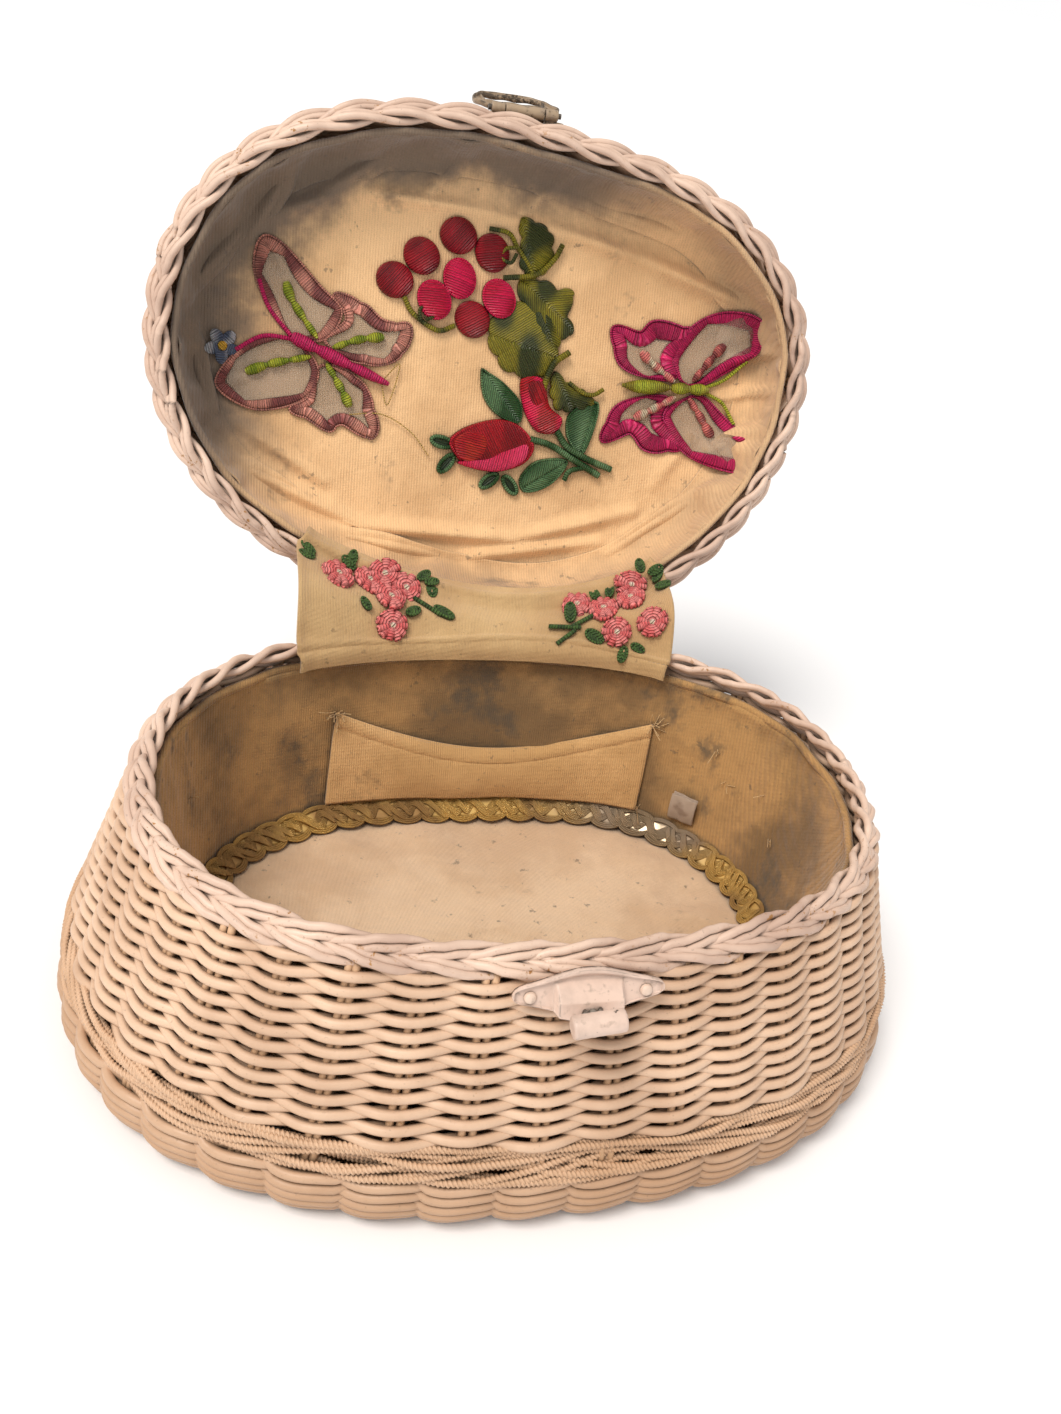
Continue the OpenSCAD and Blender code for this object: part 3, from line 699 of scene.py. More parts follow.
def panel_rise(x, y):
    """How far the lid's cloth stands off the flat card at a point of the closed lid."""
    x, y = np.asarray(x, float), np.asarray(y, float)
    s = edge_share(x, y)
    roll = 3.6 * np.clip((s - 0.86) / 0.14, 0, 1.3) ** 2
    ripple = 0.3 * np.sin(0.11 * x + 1.7 * np.sin(0.06 * y)) * np.sin(0.13 * y + 0.04 * x)
    edge = np.clip((s - 0.55) / 0.25, 0, 1)
    return roll + ripple * edge + folds_at(x, y)


def lid_lining():
    """Gathered cloth between the lid's border and its panel."""
    rows, cols = 44, 420
    t = np.arange(cols) * TAU / cols
    share = np.linspace(0, 1, rows)[:, None]
    turn = share ** 1.5 * math.pi / 2
    h = 0.4 + 23.4 * np.sin(share * math.pi / 2) ** 0.9
    o = -7.0 - 10.5 * (1 - np.cos(turn)) ** 0.9
    fold = wave(t, 13, (5, 9, 14, 22), (1.2, 1.0, 0.8, 0.5))[None] * np.sin(math.pi * np.clip(share, 0, 0.95))
    slant = 0.9 * np.sin(19 * t[None] + 5 * share + 2 * np.sin(3 * t[None])) * np.sin(math.pi * share) ** 0.7
    pleat = wave(t, 14, (31, 44, 61), (0.45, 0.35, 0.3))[None] * (1 - share) ** 0.5
    flat = oval(o, LID_Z + h, t[None], True)
    soft = folds_at(flat[..., 0], flat[..., 1]) * np.clip(share * 3, 0, 1)
    gathered = o - np.maximum(-0.5, fold + pleat + slant) - 0.8 * soft
    grid = opened(oval(gathered, LID_Z + h - 0.4 * soft, t[None], True))
    cloth_sheet("lid_lining_cloth", grid[::-1], 0.8, PANEL, "lid", True, slot="lining", node="lid_lining")
    in_out, up_down = 0.4 * wave(t, 15, (9, 21), (1, 0.6)), 0.4 * wave(t, 16, (7, 15), (1, 1))
    hem = opened(oval(-6.8 + in_out, LID_Z - 0.3 + up_down, t, True))
    tubes("lid_lining_hem", [hem], 1.35, PANEL, "lid", closed=True, sides=10, slot="lining")


def lid_panel():
    """Ribbed cloth stretched over a card; its edge rolls out to meet the gathered side."""
    def face(s, t):
        flat = oval(PANEL_OUT, PANEL_Z, t, True, s)
        return opened(flat - np.array([0, 0, 1.0]) * panel_rise(flat[..., 0], flat[..., 1])[..., None])

    def back(s, t):
        return opened(oval(-18.0, np.full_like(t, PANEL_Z + 2.7), t, True, s))

    pad_mesh("lid_panel_cloth", disc_grid(90, 480, face), disc_grid(3, 480, back), PANEL, "lid",
             slot="panel_cloth", node="lid_panel")


def build_wicker():
    wall_weavers()
    stakes("wall_stakes_reed", (3.0, 87.0), lambda z: out_at(z) - WALL_MID + 0.35, "basket", False,
           "wall_stakes")
    foot_weavers()
    cord_band()
    plait("rim_border_plait", RIM_H, "basket", False, "rim_border", 1)
    woven_disc("base_weave_reed", "base_weave", "basket", base_place, 34, 1.0, -1)
    disc_sticks("base_sticks_reed", "base_sticks", "basket", base_place, 1.02)
    lid_weavers()
    stakes("lid_stakes_reed", (LID_Z + 1.0, LID_Z + 36.0), lambda z: LID_OUT(z - LID_Z) - 3.2, "lid", True,
           "lid_stakes")
    plait("lid_border_plait", LID_Z, "lid", True, "lid_border", -1)
    woven_disc("lid_crown_reed", "lid_crown", "lid", crown_place, 32, 1.0, 1)
    disc_sticks("lid_sticks_reed", "lid_sticks", "lid", crown_place, 1.03)


def build_linings():
    wall_lining()
    floor_pad()
    lid_lining()
    lid_panel()


# ---------------------------------------------------------------- embroidery
def on_panel(xy, lift):
    """Points on the lid's panel: closed-lid x and y, and how far they stand off the cloth."""
    xy = np.asarray(xy, float)
    gather = 3.4 * np.clip((edge_share(xy[..., 0], xy[..., 1]) - 0.88) / 0.1, 0, 2) ** 1.3
    z = PANEL_Z - 0.2 - panel_rise(xy[..., 0], xy[..., 1]) - gather - np.broadcast_to(lift, xy.shape[:-1])
    return opened(np.stack([xy[..., 0], xy[..., 1], z], -1))


def spline(points, closed=False, per=10):
    """Catmull-Rom curve through the points."""
    p = np.asarray(points, float)
    n = len(p)
    if closed:
        before, after, last = np.roll(p, 1, 0), np.roll(p, -1, 0), np.roll(p, -2, 0)
    else:
        ext = np.concatenate([[2 * p[0] - p[1]], p, [2 * p[-1] - p[-2]]])
        before, p, after, last = ext[:-3], ext[1:-2], ext[2:-1], ext[3:]
    f = (np.arange(per) / per)[None, :, None]
    a, b, c, d = (v[:, None] for v in (before, p, after, last))
    out = between(a, b, c, d, f)
    out = out.reshape(-1, out.shape[-1])
    return out if closed else np.concatenate([out, np.asarray(points, float)[-1:]])


def resample(path, step, closed=False):
    """Evenly spaced points along a path."""
    p = np.concatenate([path, path[:1]]) if closed else np.asarray(path)
    length = lengths(p)
    n = max(int(length[-1] / step), 4)
    at = np.linspace(0, length[-1], n, endpoint=not closed)
    return np.stack([np.interp(at, length, p[:, k]) for k in range(p.shape[1])], -1), at


def tinted(color, points, other=None, size=6.0, seed=0):
    """Point colours, with soft patches of a second colour for variegated thread."""
    out = np.tile(np.asarray(color, float), (len(points), 1))
    if other is not None:
        x, y = points[:, 0] / size, points[:, 1] / size
        m = np.sin(1.3 * x + 0.9 * y + seed) + 0.8 * np.sin(1.1 * y - 1.7 * x + 1.9 * seed)
        m = m + 0.5 * np.sin(2.9 * x + seed)
        w = np.clip(0.5 + 0.75 * m, 0, 1)[:, None]
        out = out * (1 - w) + np.asarray(other, float) * w
    return out


class Sewn:
    """Gathers the stitched patches and cords of one sewn piece into one mesh."""

    def __init__(self, place=on_panel):
        self.place = place
        self.verts, self.faces, self.tint, self.thread = [], [], [], []
        self.count = 0

    def add(self, xyz, faces, tint, thread):
        self.verts.append(self.place(xyz[:, :2], xyz[:, 2]))
        self.faces.extend((np.asarray(f) + self.count).tolist() for f in faces)
        self.tint.append(tint)
        self.thread.append(thread)
        self.count += len(xyz)

    def patch(self, outline, dome, color, base=0.3, other=None, size=6.0, seed=0, threads=45.0,
              rib=None, rings=9, power=0.5):
        """A padded patch of satin stitch. rib is the (root, tip) of a leaf's midrib."""
        outline, _ = resample(np.asarray(outline, float), 0.7, True)
        middle = outline.mean(0)
        s = np.sin(np.linspace(0, math.pi / 2, rings + 1)[1:])
        flat = middle + (outline - middle)[None] * s[:, None, None]
        high = base + dome * np.clip(1 - s ** 2, 0, 1)[:, None] ** power * np.ones(len(outline))
        a = math.radians(threads)
        if rib is None:
            thread = flat @ np.array([-math.sin(a), math.cos(a)])
        else:
            root, tip = np.asarray(rib, float)
            axis = unit(tip - root)
            along = (flat - root) @ axis
            across = (flat - root) @ np.array([-axis[1], axis[0]])
            thread = along * 0.8 - np.abs(across) * 0.75
            high = high - min(0.6 * dome, 0.8) * np.exp(-(across / 0.55) ** 2) * (s[:, None] < 0.98)
        high[-1] = 0.0
        n = len(outline)
        poles = [[*middle, base + dome], [*middle, 0]]
        xyz = np.concatenate([np.dstack([flat, high]).reshape(-1, 3), poles])
        faces = grid_faces(rings, n, False, True).tolist()
        top, low, last = rings * n, rings * n + 1, (rings - 1) * n
        faces += [[top, j, (j + 1) % n] for j in range(n)]
        faces += [[low, last + (j + 1) % n, last + j] for j in range(n)]
        thread = np.concatenate([thread.ravel(), np.full(2, thread[0].mean())])
        self.add(xyz, faces, tinted(color, xyz, other, size, seed), thread)

    def cord(self, path, radius, color, lift=None, other=None, size=6.0, seed=0, high=1.0, step=0.5,
             closed=False, sides=8):
        """A stitched cord; radius may be a function of the share of its length."""
        path, at = resample(np.asarray(path, float), step, closed)
        share = at / max(at[-1], 1e-6)
        r = radius(share) if callable(radius) else np.full(len(path), radius)
        lift = r * high if lift is None else lift
        ahead = ahead_of(path, closed)
        side = np.stack([-ahead[:, 1], ahead[:, 0]], -1)
        a = np.arange(sides) * TAU / sides
        xy = path[:, None] + side[:, None] * (np.cos(a)[None] * r[:, None])[..., None]
        z = np.broadcast_to(lift, r.shape)[:, None] + np.sin(a)[None] * r[:, None] * high
        xyz = np.dstack([xy, z]).reshape(-1, 3)
        faces = grid_faces(len(path), sides, closed, True)[:, ::-1].tolist()
        if not closed:
            faces += end_caps(len(path), sides)
        self.add(xyz, faces, tinted(color, xyz, other, size, seed), np.repeat(at, sides))

    def band(self, outline, width, color, height=1.3, base=0.35, other=None, size=6.0, seed=0, cols=7):
        """A satin border inside an outline, its stitches across it; width(share) in millimetres."""
        outline, at = resample(np.asarray(outline, float), 0.55, True)
        share = at / at[-1]
        ahead = ahead_of(outline, True)
        inward = np.stack([-ahead[:, 1], ahead[:, 0]], -1)
        if ((outline.mean(0) - outline) * inward).sum() < 0:
            inward = -inward
        v = np.linspace(0, 1, cols)
        w = width(share) if callable(width) else np.full(len(share), width)
        xy = outline[:, None] + inward[:, None] * (w[:, None] * v[None])[..., None]
        z = base + height * np.sqrt(np.clip(1 - (2 * v - 1) ** 2, 0, 1))[None] * np.ones(len(w))[:, None]
        z[:, 0] = z[:, -1] = 0.0
        xyz = np.dstack([xy, z]).reshape(-1, 3)
        faces = grid_faces(len(w), cols, True, False).tolist()
        for i in range(len(w)):
            a, b = i * cols, (i + 1) % len(w) * cols
            faces.append([a + cols - 1, b + cols - 1, b, a])
        self.add(xyz, faces, tinted(color, xyz, other, size, seed), np.repeat(at, cols))

    def mesh(self, name, material, body, **options):
        obj = make_mesh(name, np.concatenate(self.verts), self.faces, material, body,
                        thread=np.concatenate(self.thread), **options)
        tint = obj.data.attributes.new("tint", "FLOAT_COLOR", "POINT")
        colors = np.concatenate(self.tint)
        opaque = np.ones((len(colors), 1))
        tint.data.foreach_set("color", np.hstack([colors, opaque]).astype(np.float32).ravel())
        return obj


def satin(name, pitch=0.95, roughness=0.42, depth=0.42, sheen=0.0):
    """Rows of glossy thread side by side; the colour comes from each point's tint, with painted shade between
    the rows and in crevices.
    """
    p = Paint(name, roughness, sheen)
    tint = p.node("ShaderNodeAttribute", attribute_name="tint").outputs["Color"]

    def shaded(*share):
        """The thread's own colour, scaled channel by channel."""
        return p.mix(1.0, tint, share, "MULTIPLY")

    thread = p.add(p.value("thread"), p.times(p.noise(500, 2), 0.5))
    rows = p.math("SINE", p.times(thread, TAU / pitch))
    strand = p.noise(1.0, 2, coords=p.node("ShaderNodeCombineXYZ", {
        "X": p.times(thread, 1.6), "Y": p.noise(160, 2)}).outputs[0])
    # Painted shade in the valleys between rows of stitches.
    color = p.mix(p.range(rows, -1.0, 0.3, 0.75, 0.0), tint, shaded(0.3, 0.24, 0.24))
    color = p.mix(p.range(strand, 0.35, 0.7, 0.0, 0.45), color, shaded(1.7, 1.35, 1.35))
    # Painted shade in crevices between the stitched pieces.
    color = p.mix(p.times(p.crevice(1.6, 0.2, 0.9), 0.6), color, shaded(0.15, 0.13, 0.13))
    p.bump(rows, depth)
    p.bump(p.noise(900, 2), 0.12)
    return p.done(color)


def organza():
    """Thin see-through net under the butterflies' wings."""
    p = Paint("organza", 0.6, 0.1)
    xyz = p.xyz()
    k = TAU / (0.7 * MM)
    net = p.math("MAXIMUM", p.math("SINE", p.times(xyz["X"], k)),
                 p.math("SINE", p.times(xyz["Z"], k)))
    p.link(p.range(net, 0.2, 0.9, 0.1, 0.26), p.bsdf.inputs["Alpha"])
    p.bump(p.noise(120, 3), 0.5)
    return p.done(p.mix(p.noise(70, 3), srgb(244, 224, 200), srgb(214, 190, 166)))


THREADS = satin("satin_thread")
WOOL = satin("wool_thread", 1.2, 0.75, 0.45, 0.05)
ORGANZA = organza()

DARK_GRAPE, BRIGHT_GRAPE = srgb(158, 10, 34), srgb(222, 24, 84)
OLIVE, MOSS = srgb(142, 138, 38), srgb(62, 74, 34)
MAGENTA, LIME = srgb(206, 36, 104), srgb(178, 192, 58)
MAUVE, ROSE_PINK, CREAM_THREAD = srgb(138, 80, 78), srgb(216, 152, 134), srgb(222, 212, 180)
RED, ORANGE_RED, HOT_PINK = srgb(176, 18, 34), srgb(186, 44, 34), srgb(226, 34, 84)
LEAF_GREEN, LEAF_LIGHT = srgb(44, 88, 44), srgb(96, 138, 92)
CORAL, CORAL_LIGHT = srgb(234, 112, 112), srgb(246, 150, 146)
FLOWER_LEAF, STEM_GREEN = srgb(74, 112, 48), srgb(52, 84, 34)


def toward(degrees):
    return np.array([math.cos(math.radians(degrees)), math.sin(math.radians(degrees))])


def circle(x, y, rx, ry=None, turn=0.0, n=48):
    a, c, s = np.arange(n) * TAU / n, math.cos(math.radians(turn)), math.sin(math.radians(turn))
    u, v = rx * np.cos(a), (ry or rx) * np.sin(a)
    return np.stack([x + u * c - v * s, y + u * s + v * c], -1)


def beads(knots, small=0.45, taper=0.0):
    """Radius of a cord wrapped into knots, from 0 to 1 along it."""
    return lambda s: (small + (1 - small) * np.abs(np.sin(math.pi * knots * s)) ** 0.7) * (1 - taper * s)


def scalloped(outline, lobes, depth):
    """An outline pushed out into lobes, smooth where it starts and ends."""
    curve, at = resample(outline, 0.6, True)
    ahead = ahead_of(curve, True)
    out = np.stack([ahead[:, 1], -ahead[:, 0]], -1)
    if ((outline.mean(0) - curve) * out).sum() > 0:
        out = -out
    s = at / at[-1]
    push = depth * (np.abs(np.sin(math.pi * lobes * s)) ** 0.6 - 0.4) * np.sin(math.pi * s) ** 0.5
    return curve + out * push[:, None]


def wing(sewn, net, outline, width, lobes, color, other, seed, edge, size, scallop=0.0):
    """One butterfly wing: net, a scalloped satin border and a fine overlocked edge."""
    curve = scalloped(spline(outline, True), lobes + 2, scallop)

    def border(s):
        scallops = 0.5 + 0.5 * np.abs(np.sin(math.pi * lobes * s)) ** 0.8
        return width * scallops * np.sin(math.pi * s) ** 0.5
    net.patch(curve, 0.3, (1, 1, 1), 0.25, rings=5)
    sewn.band(curve, lambda s: np.maximum(border(s), 0.9), color, 1.1, 0.45, other, size, seed)
    sewn.cord(curve, 0.45, edge, 0.75, other, size, seed + 2, closed=True)


def pale_butterfly():
    sewn, net = Sewn(), Sewn()
    wings = (
        ([(-76, -7), (-85, -15), (-92, -30), (-90, -42), (-82, -41), (-67, -27),
          (-58, -18), (-64, -7)], 6.4, 4),
        ([(-76, -6), (-90, -5), (-99, 2), (-105, 14), (-90, 22), (-72, 17), (-66, 5)], 4.6, 4),
        ([(-64, -6), (-56, -15), (-61, -24), (-50, -22), (-42, -16), (-31, -15),
          (-34, -3), (-49, 1)], 5.6, 4),
        ([(-65, 3), (-70, 16), (-76, 21), (-67, 25), (-60, 28), (-55, 25), (-44, 30),
          (-42, 22), (-50, 7)], 5.4, 5),
    )
    for k, (outline, width, lobes) in enumerate(wings):
        wing(sewn, net, outline, width, lobes, MAUVE, ROSE_PINK, 3.0 * k, srgb(176, 124, 112), 5.0,
             1.2 * (k > 1))
    sewn.cord(spline([(-90, -27), (-86, -17), (-77, -7)]), 0.9, MAGENTA, 1.0)
    sewn.cord(spline([(-98, 0), (-88, -6), (-77, -6)]), 0.9, MAGENTA, 1.0)
    for path in ([(-80, -27), (-77, -20), (-67, -7)], [(-94, 8), (-84, 4), (-69, 0)],
                 [(-41, -10), (-51, -8), (-61, -4)], [(-53, 18), (-57, 11), (-63, 2)]):
        sewn.cord(spline(path), lambda s: 2.2 * beads(3)(s) * (1 - 0.45 * s), LIME, 1.3,
                  srgb(126, 150, 34), 2.0, 1)
    sewn.cord(spline([(-77, -7), (-71, -4.5), (-64, -2), (-54, 2), (-38, 8)]),
              lambda s: 2.7 * beads(3, 0.55)(s ** 0.8) * (1 - 0.5 * s ** 3), MAGENTA, 2.0)
    for path in ([(-40, 6), (-34, 0), (-38, 16), (-41, 8)], [(-53, 21), (-40, 20), (-28, 26), (-20, 35)]):
        sewn.cord(spline(path), 0.22, srgb(218, 190, 110), 1.3, sides=6)
    sewn.mesh("pale_butterfly_sewn", THREADS, "lid", slot="pale_butterfly", node="pale_butterfly")
    net.mesh("pale_butterfly_net", ORGANZA, "lid", slot="pale_butterfly")


def magenta_butterfly():
    sewn, net = Sewn(), Sewn()
    wings = (
        ([(69, -4), (57, -9), (53, -22), (64, -22), (70, -26), (79, -26), (88, -24),
          (81, -13), (82, -5)], 8.2, 3),
        ([(69, 4), (57, 10), (53, 23), (65, 20), (72, 25), (80, 26), (88, 23), (79, 12), (80, 4)], 8.2, 3),
        ([(86, -3), (80, -13), (87, -26), (100, -33), (113, -31), (115, -21), (108, -12), (95, -3)], 6.2, 3),
        ([(88, 3), (79, 11), (86, 23), (100, 30), (115, 31), (115, 20), (106, 10), (96, 2)], 6.2, 3),
    )
    for k, (outline, width, lobes) in enumerate(wings):
        wing(sewn, net, outline, width, lobes, MAGENTA, srgb(178, 28, 86), 2.0 * k, srgb(204, 62, 118), 9.0,
             1.4 * (k < 2))
    for k, path in enumerate(([(66, -14), (71, -10), (82, -3)], [(102, -20), (98, -15), (90, -4)],
                              [(66, 13), (75, 8), (83, 3)], [(101, 18), (95, 10), (89, 3)])):
        sewn.cord(spline(path), lambda s: 2.3 * beads(3, 0.5)(s) * (1 - 0.4 * s), srgb(226, 128, 122), 1.3,
                  srgb(140, 70, 70) if k % 2 else CREAM_THREAD, 1.8, k)

    def body(s):
        """The plump front part, then beads to the tail."""
        front = np.sin(math.pi * np.clip(s * 1.75, 0.04, 1)) ** 0.6 * (s < 0.57)
        tail = (s >= 0.57) * (0.45 + 0.4 * np.abs(np.sin(math.pi * (s - 0.57) / 0.215)))
        return 2.9 * np.maximum(front, tail)

    sewn.cord([(59, 0), (66, 0), (80, -0.6), (97, -1)], body, LIME, 2.1, srgb(136, 132, 40), 4.0, 1)
    for path in ([(96, -2), (104, -6), (111, -14)], [(96, 0), (104, 4), (109, 12)]):
        sewn.cord(spline(path), 0.7, LIME, 1.1)
    sewn.mesh("magenta_butterfly_sewn", THREADS, "lid", slot="magenta_butterfly", node="magenta_butterfly")
    net.mesh("magenta_butterfly_net", ORGANZA, "lid", slot="magenta_butterfly")


def grape_bunch():
    sewn = Sewn()
    dark = [(-38, -32, 20), (-28, -42, 35), (-14, -51, 20), (0, -46, 60), (-6, -20, 40)]
    bright = [(-22, -26, 60), (-12.5, -35, 75), (4, -29, 60)]
    for k, (x, y, turn) in enumerate(dark):
        sewn.patch(circle(x, y, 7.6, 6.9, turn), 3.0, DARK_GRAPE, 0.5, srgb(132, 8, 28), 5, k,
                   threads=turn - 70, power=0.42)
    for k, (x, y, turn) in enumerate(bright):
        sewn.patch(circle(x, y, 7.9, 6.6, turn), 3.4, BRIGHT_GRAPE, 1.0, srgb(196, 10, 62), 5, k,
                   threads=turn - 60, power=0.42)
        sewn.cord(circle(x, y, 7.4, 6.1, turn), 0.5, BRIGHT_GRAPE, 2.1, closed=True)
    for path, r in (([(-34, -26), (-30, -20), (-20, -14.5), (-13, -17)], 1.0),
                    ([(-27, -18), (-27.5, -22), (-24, -23.5), (-22, -20), (-25, -18)], 0.75),
                    ([(-2, -55), (6, -54), (10, -49), (15, -43), (18, -38)], 0.9),
                    ([(10, -49), (5, -48), (3.6, -44.5), (7.5, -43), (9.6, -46.6)], 0.75)):
        sewn.cord(spline(path), r, OLIVE, 2.4 if r < 0.8 else 1.2, MOSS, 4.0, 2)
    sewn.mesh("grape_bunch_sewn", THREADS, "lid", slot="grape_bunch", node="grape_bunch")


def olive_leaves():
    sewn = Sewn()
    leaves = (
        ([(10, -60), (17, -59), (23, -55), (24, -46), (19, -39), (13, -41), (12, -50)],
         ((11, -60), (18, -39))),
        ([(12, -37), (22, -37.5), (28, -35), (35, -34), (33, -27), (35.5, -18), (29, -17), (22, -22),
          (14, -28)],
         ((13, -37), (33, -22))),
        ([(13, -29), (5, -24), (1, -17), (4, -8), (12, -1), (25, -1), (30, -8), (27, -16), (21, -24)],
         ((4, -14), (27, -9))),
        ([(20, -32), (26, -28), (30, -18), (29, -8), (24, -14), (18, -24)], ((20, -31), (29, -9))),
        ([(30, -3), (35, 1), (44, 5), (47, 9), (40, 11), (33, 12), (29, 5)], ((30, -2), (38, 11))),
    )
    for k, (outline, rib) in enumerate(leaves):
        sewn.patch(scalloped(spline(outline, True), 9, 2.2), 1.7 + 0.25 * (k % 2), OLIVE,
                   0.5 + 0.5 * (k in (2, 4)), MOSS, 5.5, 2.3 * k, rib=rib)
    for path, r in (([(28, -52), (25, -46), (18, -39.5), (5, -37)], 1.1),
                    ([(35, -11), (29, -6), (26, 2), (24.5, 12)], 1.3),
                    ([(36, 1), (42, 4.5), (47, 5), (51, 2.5)], 0.9)):
        sewn.cord(spline(path), r, OLIVE, 2.3, MOSS, 4.0, 1)
    sewn.mesh("olive_leaves_sewn", THREADS, "lid", slot="olive_leaves", node="olive_leaves")


def rose_sprig():
    sewn = Sewn()
    for k, (outline, rib) in enumerate((
            ([(-1, -1), (3, 0), (10, 4), (17, 11), (17, 19), (8, 17), (1, 10)], ((0, -1), (17, 19))),
            ([(43, 9), (50, 8), (49.5, 18), (45, 30), (38, 24), (37, 15)], ((49, 8), (44, 30))),
            ([(21, 47), (19, 41), (26, 33.5), (39, 32.5), (35, 41), (28, 46)], ((20, 46), (39, 33))))):
        sewn.patch(spline(outline, True), 1.5, LEAF_GREEN, 0.5, LEAF_LIGHT, 7.0, 1.5 * k, rib=rib)
        sewn.band(spline(outline, True), 1.1, LEAF_GREEN, 1.0, 0.6, LEAF_LIGHT, 6.0, k)
    for path, r in (([(22, 25), (31, 27), (40, 31.5), (53, 38)], 1.4),
                    ([(33, 21), (38, 27), (46, 31), (58, 35)], 1.4),
                    ([(38, 41), (40, 37), (46, 35)], 1.1)):
        sewn.cord(spline(path), r, LEAF_GREEN, 1.6, LEAF_LIGHT, 4.0, 1)
    for a, b in (((-20, 28), (-10, 30)), ((-16, 42), (-9, 33)), ((2, 46.5), (10, 40)), ((18, 48), (12, 41))):
        mid, turn = (np.add(a, b) / 2), math.degrees(math.atan2(b[1] - a[1], b[0] - a[0]))
        sewn.patch(circle(*mid, 5.0, 2.5, turn), 1.2, srgb(40, 60, 36), 0.4, threads=turn)
        sewn.cord(circle(*mid, 4.3, 2.0, turn), 0.85, LEAF_GREEN, 1.2, LEAF_LIGHT, 3.0, closed=True)
    bud = spline([(-12, 28), (-5, 22), (8, 18), (18, 20.5), (24, 28), (20, 35.5), (9, 39.5), (-3, 38.5),
                  (-9, 34)], True)
    sewn.patch(bud, 3.6, RED, 0.8, srgb(140, 10, 26), 6, 1, threads=60, power=0.4)
    sewn.patch(spline([(-10, 28), (-5, 24), (2, 24.5), (6, 28), (3, 33), (-3, 36), (-8, 34)], True), 1.0,
               ORANGE_RED, 3.6, RED, 3, 2, threads=10)
    fold = spline([(-8, 36.5), (2, 34.5), (8, 30), (14, 26), (21, 27), (20, 34), (10, 39), (-2, 38.6)], True)
    sewn.patch(fold, 1.8, HOT_PINK, 2.6, srgb(236, 60, 110), 9, 2, threads=100)
    sewn.band(bud, lambda s: 1.7 + 0 * s, RED, 1.6, 1.0, srgb(200, 26, 52), 9, 1)
    sewn.patch(spline([(16, 1.5), (25, 0.5), (29, 11), (35, 16), (32, 22), (24, 21.5), (18, 13)], True), 3.2,
               HOT_PINK, 0.8, RED, 5, 4, threads=150, power=0.42)
    sewn.patch(spline([(19, 2.5), (25, 2), (27, 9), (24, 14), (20, 10)], True), 1.2, RED, 3.0,
               srgb(130, 8, 24), 4, threads=60)
    sewn.mesh("rose_sprig_sewn", THREADS, "lid", slot="rose_sprig", node="rose_sprig")


def blue_flower():
    sewn = Sewn()
    blue, pale = srgb(86, 100, 124), srgb(176, 182, 188)
    for k in range(5):
        turn = 72 * k + 20
        x, y = np.array([-103, -1]) + 3.6 * toward(turn)
        sewn.patch(circle(x, y, 3.4, 2.5, turn), 0.9, blue, 0.5, pale, 2.5, k, threads=turn + 90, rings=5)
    sewn.patch(circle(-103, -1, 1.9), 1.2, srgb(222, 178, 60), 1.2, rings=4)
    sewn.mesh("blue_flower_sewn", THREADS, "lid", slot="blue_flower", node="blue_flower")


# ---------------------------------------------------------------- fabric hinge
STRIP_HALF = 75.0


def strip_station(k, t):
    """Stations of the hinge strip: inside the basket's border, over it, then up the lid's border."""
    side = (np.cos(t) * RIM_A / STRIP_HALF) ** 2
    over = oval(-5.4, RIM_H + 5.2, t)
    under = opened(oval(-2.6, LID_Z - 7.0, t, True))
    if k == 3:
        return (over + under) / 2 + np.stack([0 * t, -0.6 * (1 + 6 * side), 0.8 * (1 + 6 * side)], -1)
    return (oval(-8.4, RIM_H - 4.0, t), oval(-8.4, RIM_H + 1.2, t), over, None, under,
            opened(oval(-7.4, LID_Z - 4.6, t, True)), opened(oval(-10.2, LID_Z + 0.2, t, True)))[k]


def strip_surface(x, v):
    """Points of the strip at x, a share v of the way from the basket to the lid."""
    x, v = np.broadcast_arrays(np.asarray(x, float), v)
    t = np.arccos(np.clip(x / (RIM_A - 3), -1, 1))
    p = np.stack([strip_station(k, t) for k in range(7)])
    f = np.clip(v, 0, 1) * 6
    i = np.minimum(f.astype(int), 5)
    w = (f - i)[..., None]

    def station(j):
        return np.take_along_axis(p, np.clip(j, 0, 6)[None, ..., None], 0)[0]

    return between(station(i - 1), station(i), station(i + 1), station(i + 2), w)


def strip_frame(x, v):
    """Place and unit directions on the strip: along it, up it and out of it."""
    p = strip_surface(x, v)
    ex = unit(strip_surface(x + 1, v) - strip_surface(x - 1, v))
    ev = unit(strip_surface(x, v + 0.01) - strip_surface(x, v - 0.01))
    return p, ex, ev, unit(np.cross(ex, ev))


def hinge_strip():
    rows, cols = 60, 120
    x = np.linspace(-STRIP_HALF, STRIP_HALF, cols)[None]
    v = np.linspace(0, 1, rows)[:, None]
    grid = strip_surface(x, v + 0 * x)
    normal = -grid_normals(grid, False)
    normal *= np.sign((normal[..., 1] * -1 + normal[..., 2]).mean())
    free = np.sin(math.pi * np.clip((v - 0.28) / 0.5, 0, 1)) ** 0.7
    crease = (0.9 * np.sin(x / 9 + 5 * v) + 0.7 * np.sin(x / 23 - 7 * v + 1)) * free
    crease = crease + 1.3 * np.exp(-((v - 0.30 - 0.03 * np.sin(x / 16)) / 0.022) ** 2)
    crease = crease + 1.1 * np.exp(-((v - 0.86 + 0.02 * np.sin(x / 12 + 1)) / 0.03) ** 2)
    edge = np.exp(-((STRIP_HALF - np.abs(x)) / 2.6) ** 2) * 0.8
    grid = grid + normal * (crease * 0.8 + edge)[..., None]
    strip = cloth_sheet("hinge_strip_cloth", grid, 0.8, STRIP, None, slot="strip_cloth", node="hinge_strip")
    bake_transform(strip)


